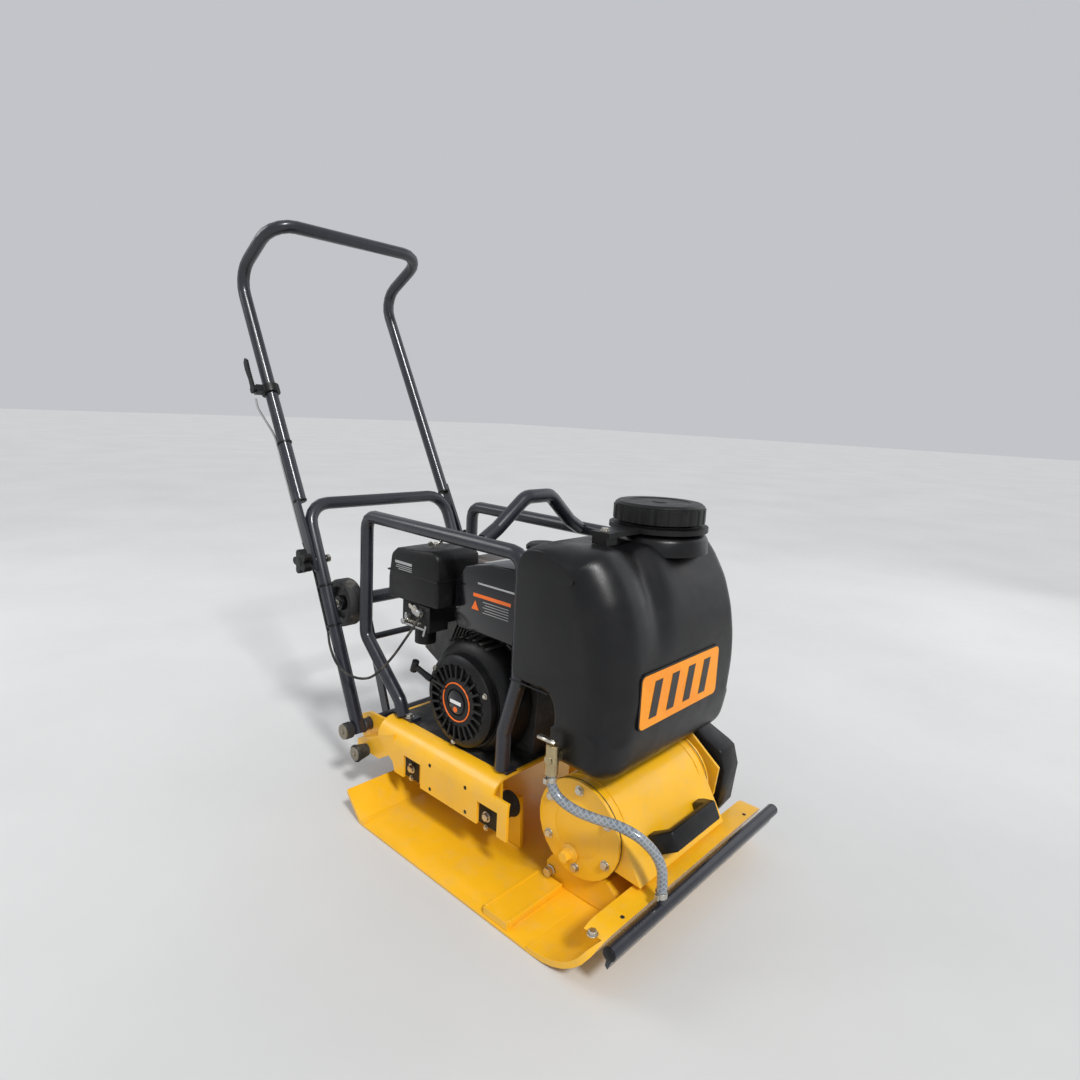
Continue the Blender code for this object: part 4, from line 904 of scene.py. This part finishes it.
def deck_parts():
    """Bolts on the deck and plate, a dark sheet on the deck under the engine, the drain ridges and the
    welds.
    """
    bolt((147, -295, 160), (1, 0, 0), 7.5)
    bolt((-232, -330, 78), (0, 0, 1), 7.0)
    # Thin dark sheet on the deck under the engine, darker than the yellow deck round it.
    under_engine_sheet = bmesh.new()
    box((-140, -70, 164.7), (140, 232, 165.6), under_engine_sheet)
    add("dark_sheet_under_engine", under_engine_sheet, "deck_black", "chassis", 0.2)
    for x in (-40, 72):
        for y in (-30, 110):
            bolt((x, y, 181.2), (0, 0, 1), 8.0)
    for side in (-1, 1):
        for y in (196, 226):
            bolt((side * 137, y, 171), (0, 0, 1), 7.5)
        bolt((side * 139, -58, 171), (0, 0, 1), 7.5)
    ridge = bmesh.new()
    box((-244, -190, 9), (-126, -184, 19.5), ridge)
    box((-244, -142, 9), (-126, -136, 19.5), ridge)
    add("drain_ridges", ridge, "yellow", "chassis", 1.2)
    weld = bmesh.new()
    for side in (-1, 1):
        for y in MOUNT_Y:
            run = [(side * 99.5, y - 26, 9.5), (side * 99.8, y, 9.5), (side * 99.5, y + 26, 9.5)]
            tube(smooth_points(run, 6), 2.4, 8, weld)
    add("lug_welds", weld, "yellow", "chassis")


def belt_parts():
    """Raised step, bosses and bolts on the belt cover."""
    outline = []
    for k in range(13):
        a = math.radians(65 + 230 * k / 12)
        outline.append((-222 + 52 * math.cos(a), 136 + 52 * math.sin(a)))
    for k in range(13):
        a = math.radians(-65 + 170 * k / 12)
        outline.append((CRANK_Y + 56 * math.cos(a), CRANK_Z + 56 * math.sin(a)))
    step = extrude(outline, 211.4, 215.4)
    add("belt_cover_step", step, "black", "chassis", 1.6)
    boss = lathe([(0, 3), (20, 3), (24, 0), (0, 0)], (214.6, CRANK_Y, CRANK_Z), (1, 0, 0), 48)
    lathe([(0, 3), (16, 3), (20, 0), (0, 0)], (214.6, EXCITER_Y, EXCITER_Z), (1, 0, 0), 48, boss)
    add("belt_cover_boss", boss, "black", "chassis", 0.6)
    for spot in ((212, -286, 120), (212, -250, 178), (212, -84, 262), (212, 30, 328), (212, 104, 200)):
        bolt(spot, (1, 0, 0), 5.5)


def front_handle_part():
    """Bolts at the feet of the front carrying handle."""
    outward = Vector((0, -0.9, 0.44)).normalized()
    base = Vector((0, -312.5, 126))
    for side in (-1, 1):
        foot = base + Vector((side * 70, 0, 0)) + outward * 15.5
        bolt(foot, outward, 4.2, washer=False)


def wheel_parts():
    """Tyre, hub and axle bolt of each transport wheel."""
    for side, label in SIDES:
        centre = (side * 136, 425, 347)
        profile = [(36, -16), (44, -17.5), (48, -15.5), (49.9, -12), (49.9, 12), (48, 15.5), (44, 17.5),
                   (36, 16), (34, 10), (34, -10), (36, -16)]
        tyre = lathe(profile, centre, (1, 0, 0), 60)
        obj = add(f"tyre_{label}", tyre, "tyre", f"wheel_{label}", 0.3)
        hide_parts(f"wheel_{label}")
        hub = lathe([(9.4, -16), (15, -16), (16, -6), (34.5, -5), (34.5, 5), (16, 6), (15, 16),
                     (9.4, 16), (9.4, -16)], centre, (1, 0, 0), 48)
        add(f"hub_{label}", hub, "black", f"wheel_{label}", 0.4)
        bolt((side * 154.5, 425, 347), (side, 0, 0), 7.0, "wheel_carriage")


# ---------------------------------------------------------------- floor, light, camera

def floor():
    bpy.ops.mesh.primitive_plane_add(size=60, location=(0, 0, -0.0012))
    plane = bpy.context.object
    plane.name = "studio_floor"
    n = Nodes("floor_pale")
    tone = n.ramp(n.noise(1.4, 5.0), [(0.3, (0.56, 0.56, 0.55)), (0.7, (0.61, 0.61, 0.60))])
    n.link(tone, n.shader.inputs["Base Color"])
    n.link(n.spread(n.noise(30.0), 0.55, 0.7, 0.3, 0.7), n.shader.inputs["Roughness"])
    plane.data.materials.append(n.mat)


def light():
    """Soft sun from the front left, pale world, and two lamps to fill."""
    world = bpy.data.worlds.new("studio")
    bpy.context.scene.world = world
    world.use_nodes = True
    world.node_tree.nodes["Background"].inputs["Color"].default_value = (0.93, 0.95, 1.0, 1)
    world.node_tree.nodes["Background"].inputs["Strength"].default_value = 0.58
    sun = bpy.data.lights.new("key", "SUN")
    sun.energy = 2.3
    sun.angle = math.radians(9)
    obj = bpy.data.objects.new("key", sun)
    bpy.context.scene.collection.objects.link(obj)
    obj.rotation_euler = Vector((0.35, 0.80, -0.95)).to_track_quat("-Z", "Y").to_euler()
    for name, power, size, place in (("fill", 12, 2.4, (2.6, -0.8, 1.6)),
                                     ("back", 22, 1.4, (-1.6, 2.2, 2.3))):
        lamp = bpy.data.lights.new(name, "AREA")
        lamp.energy = power
        lamp.size = size
        obj = bpy.data.objects.new(name, lamp)
        bpy.context.scene.collection.objects.link(obj)
        obj.location = place
        aim = Vector((0, 0.05, 0.35)) - Vector(place)
        obj.rotation_euler = aim.to_track_quat("-Z", "Y").to_euler()


def camera():
    """The photo's viewpoint, from a camera fitted to the photo."""
    a, e, r = (math.radians(v) for v in (-47.2, 8.8, 2.76))
    back = Vector((math.sin(a) * math.cos(e), -math.cos(a) * math.cos(e), math.sin(e)))
    forward = -back
    right = forward.cross(Vector((0, 0, 1))).normalized()
    up = right.cross(forward)
    right, up = right * math.cos(r) + up * math.sin(r), up * math.cos(r) - right * math.sin(r)
    data = bpy.data.cameras.new("photo_angle")
    data.lens = 23.12
    data.sensor_width = 36.0
    data.shift_x = 0.0106
    data.shift_y = -0.0187
    obj = bpy.data.objects.new("photo_angle", data)
    bpy.context.scene.collection.objects.link(obj)
    turn = Matrix((right, up, back)).transposed().to_4x4()
    obj.matrix_world = Matrix.Translation(Vector((-0.9155, -0.8109, 0.7588))) @ turn
    bpy.context.scene.camera = obj
    bpy.context.scene.view_settings.view_transform = "Standard"


skins()
handle_parts()
tank_skin()
tank_parts()
hose_parts()
throttle_cable()
recoil_parts()
fan_vents()
starter_grip()
cooling_fins()
air_cleaner_parts()
carburettor_parts()
fuel_tank_parts()
muffler_parts()
exciter_side(-1)
mount_side(-1)
skirt_holes()
pivot_washers(-1, "left")
exciter_side(1)
mount_side(1)
pivot_washers(1, "right")
deck_parts()
belt_parts()
front_handle_part()
wheel_parts()
finish_bolts()
floor()
light()
camera()
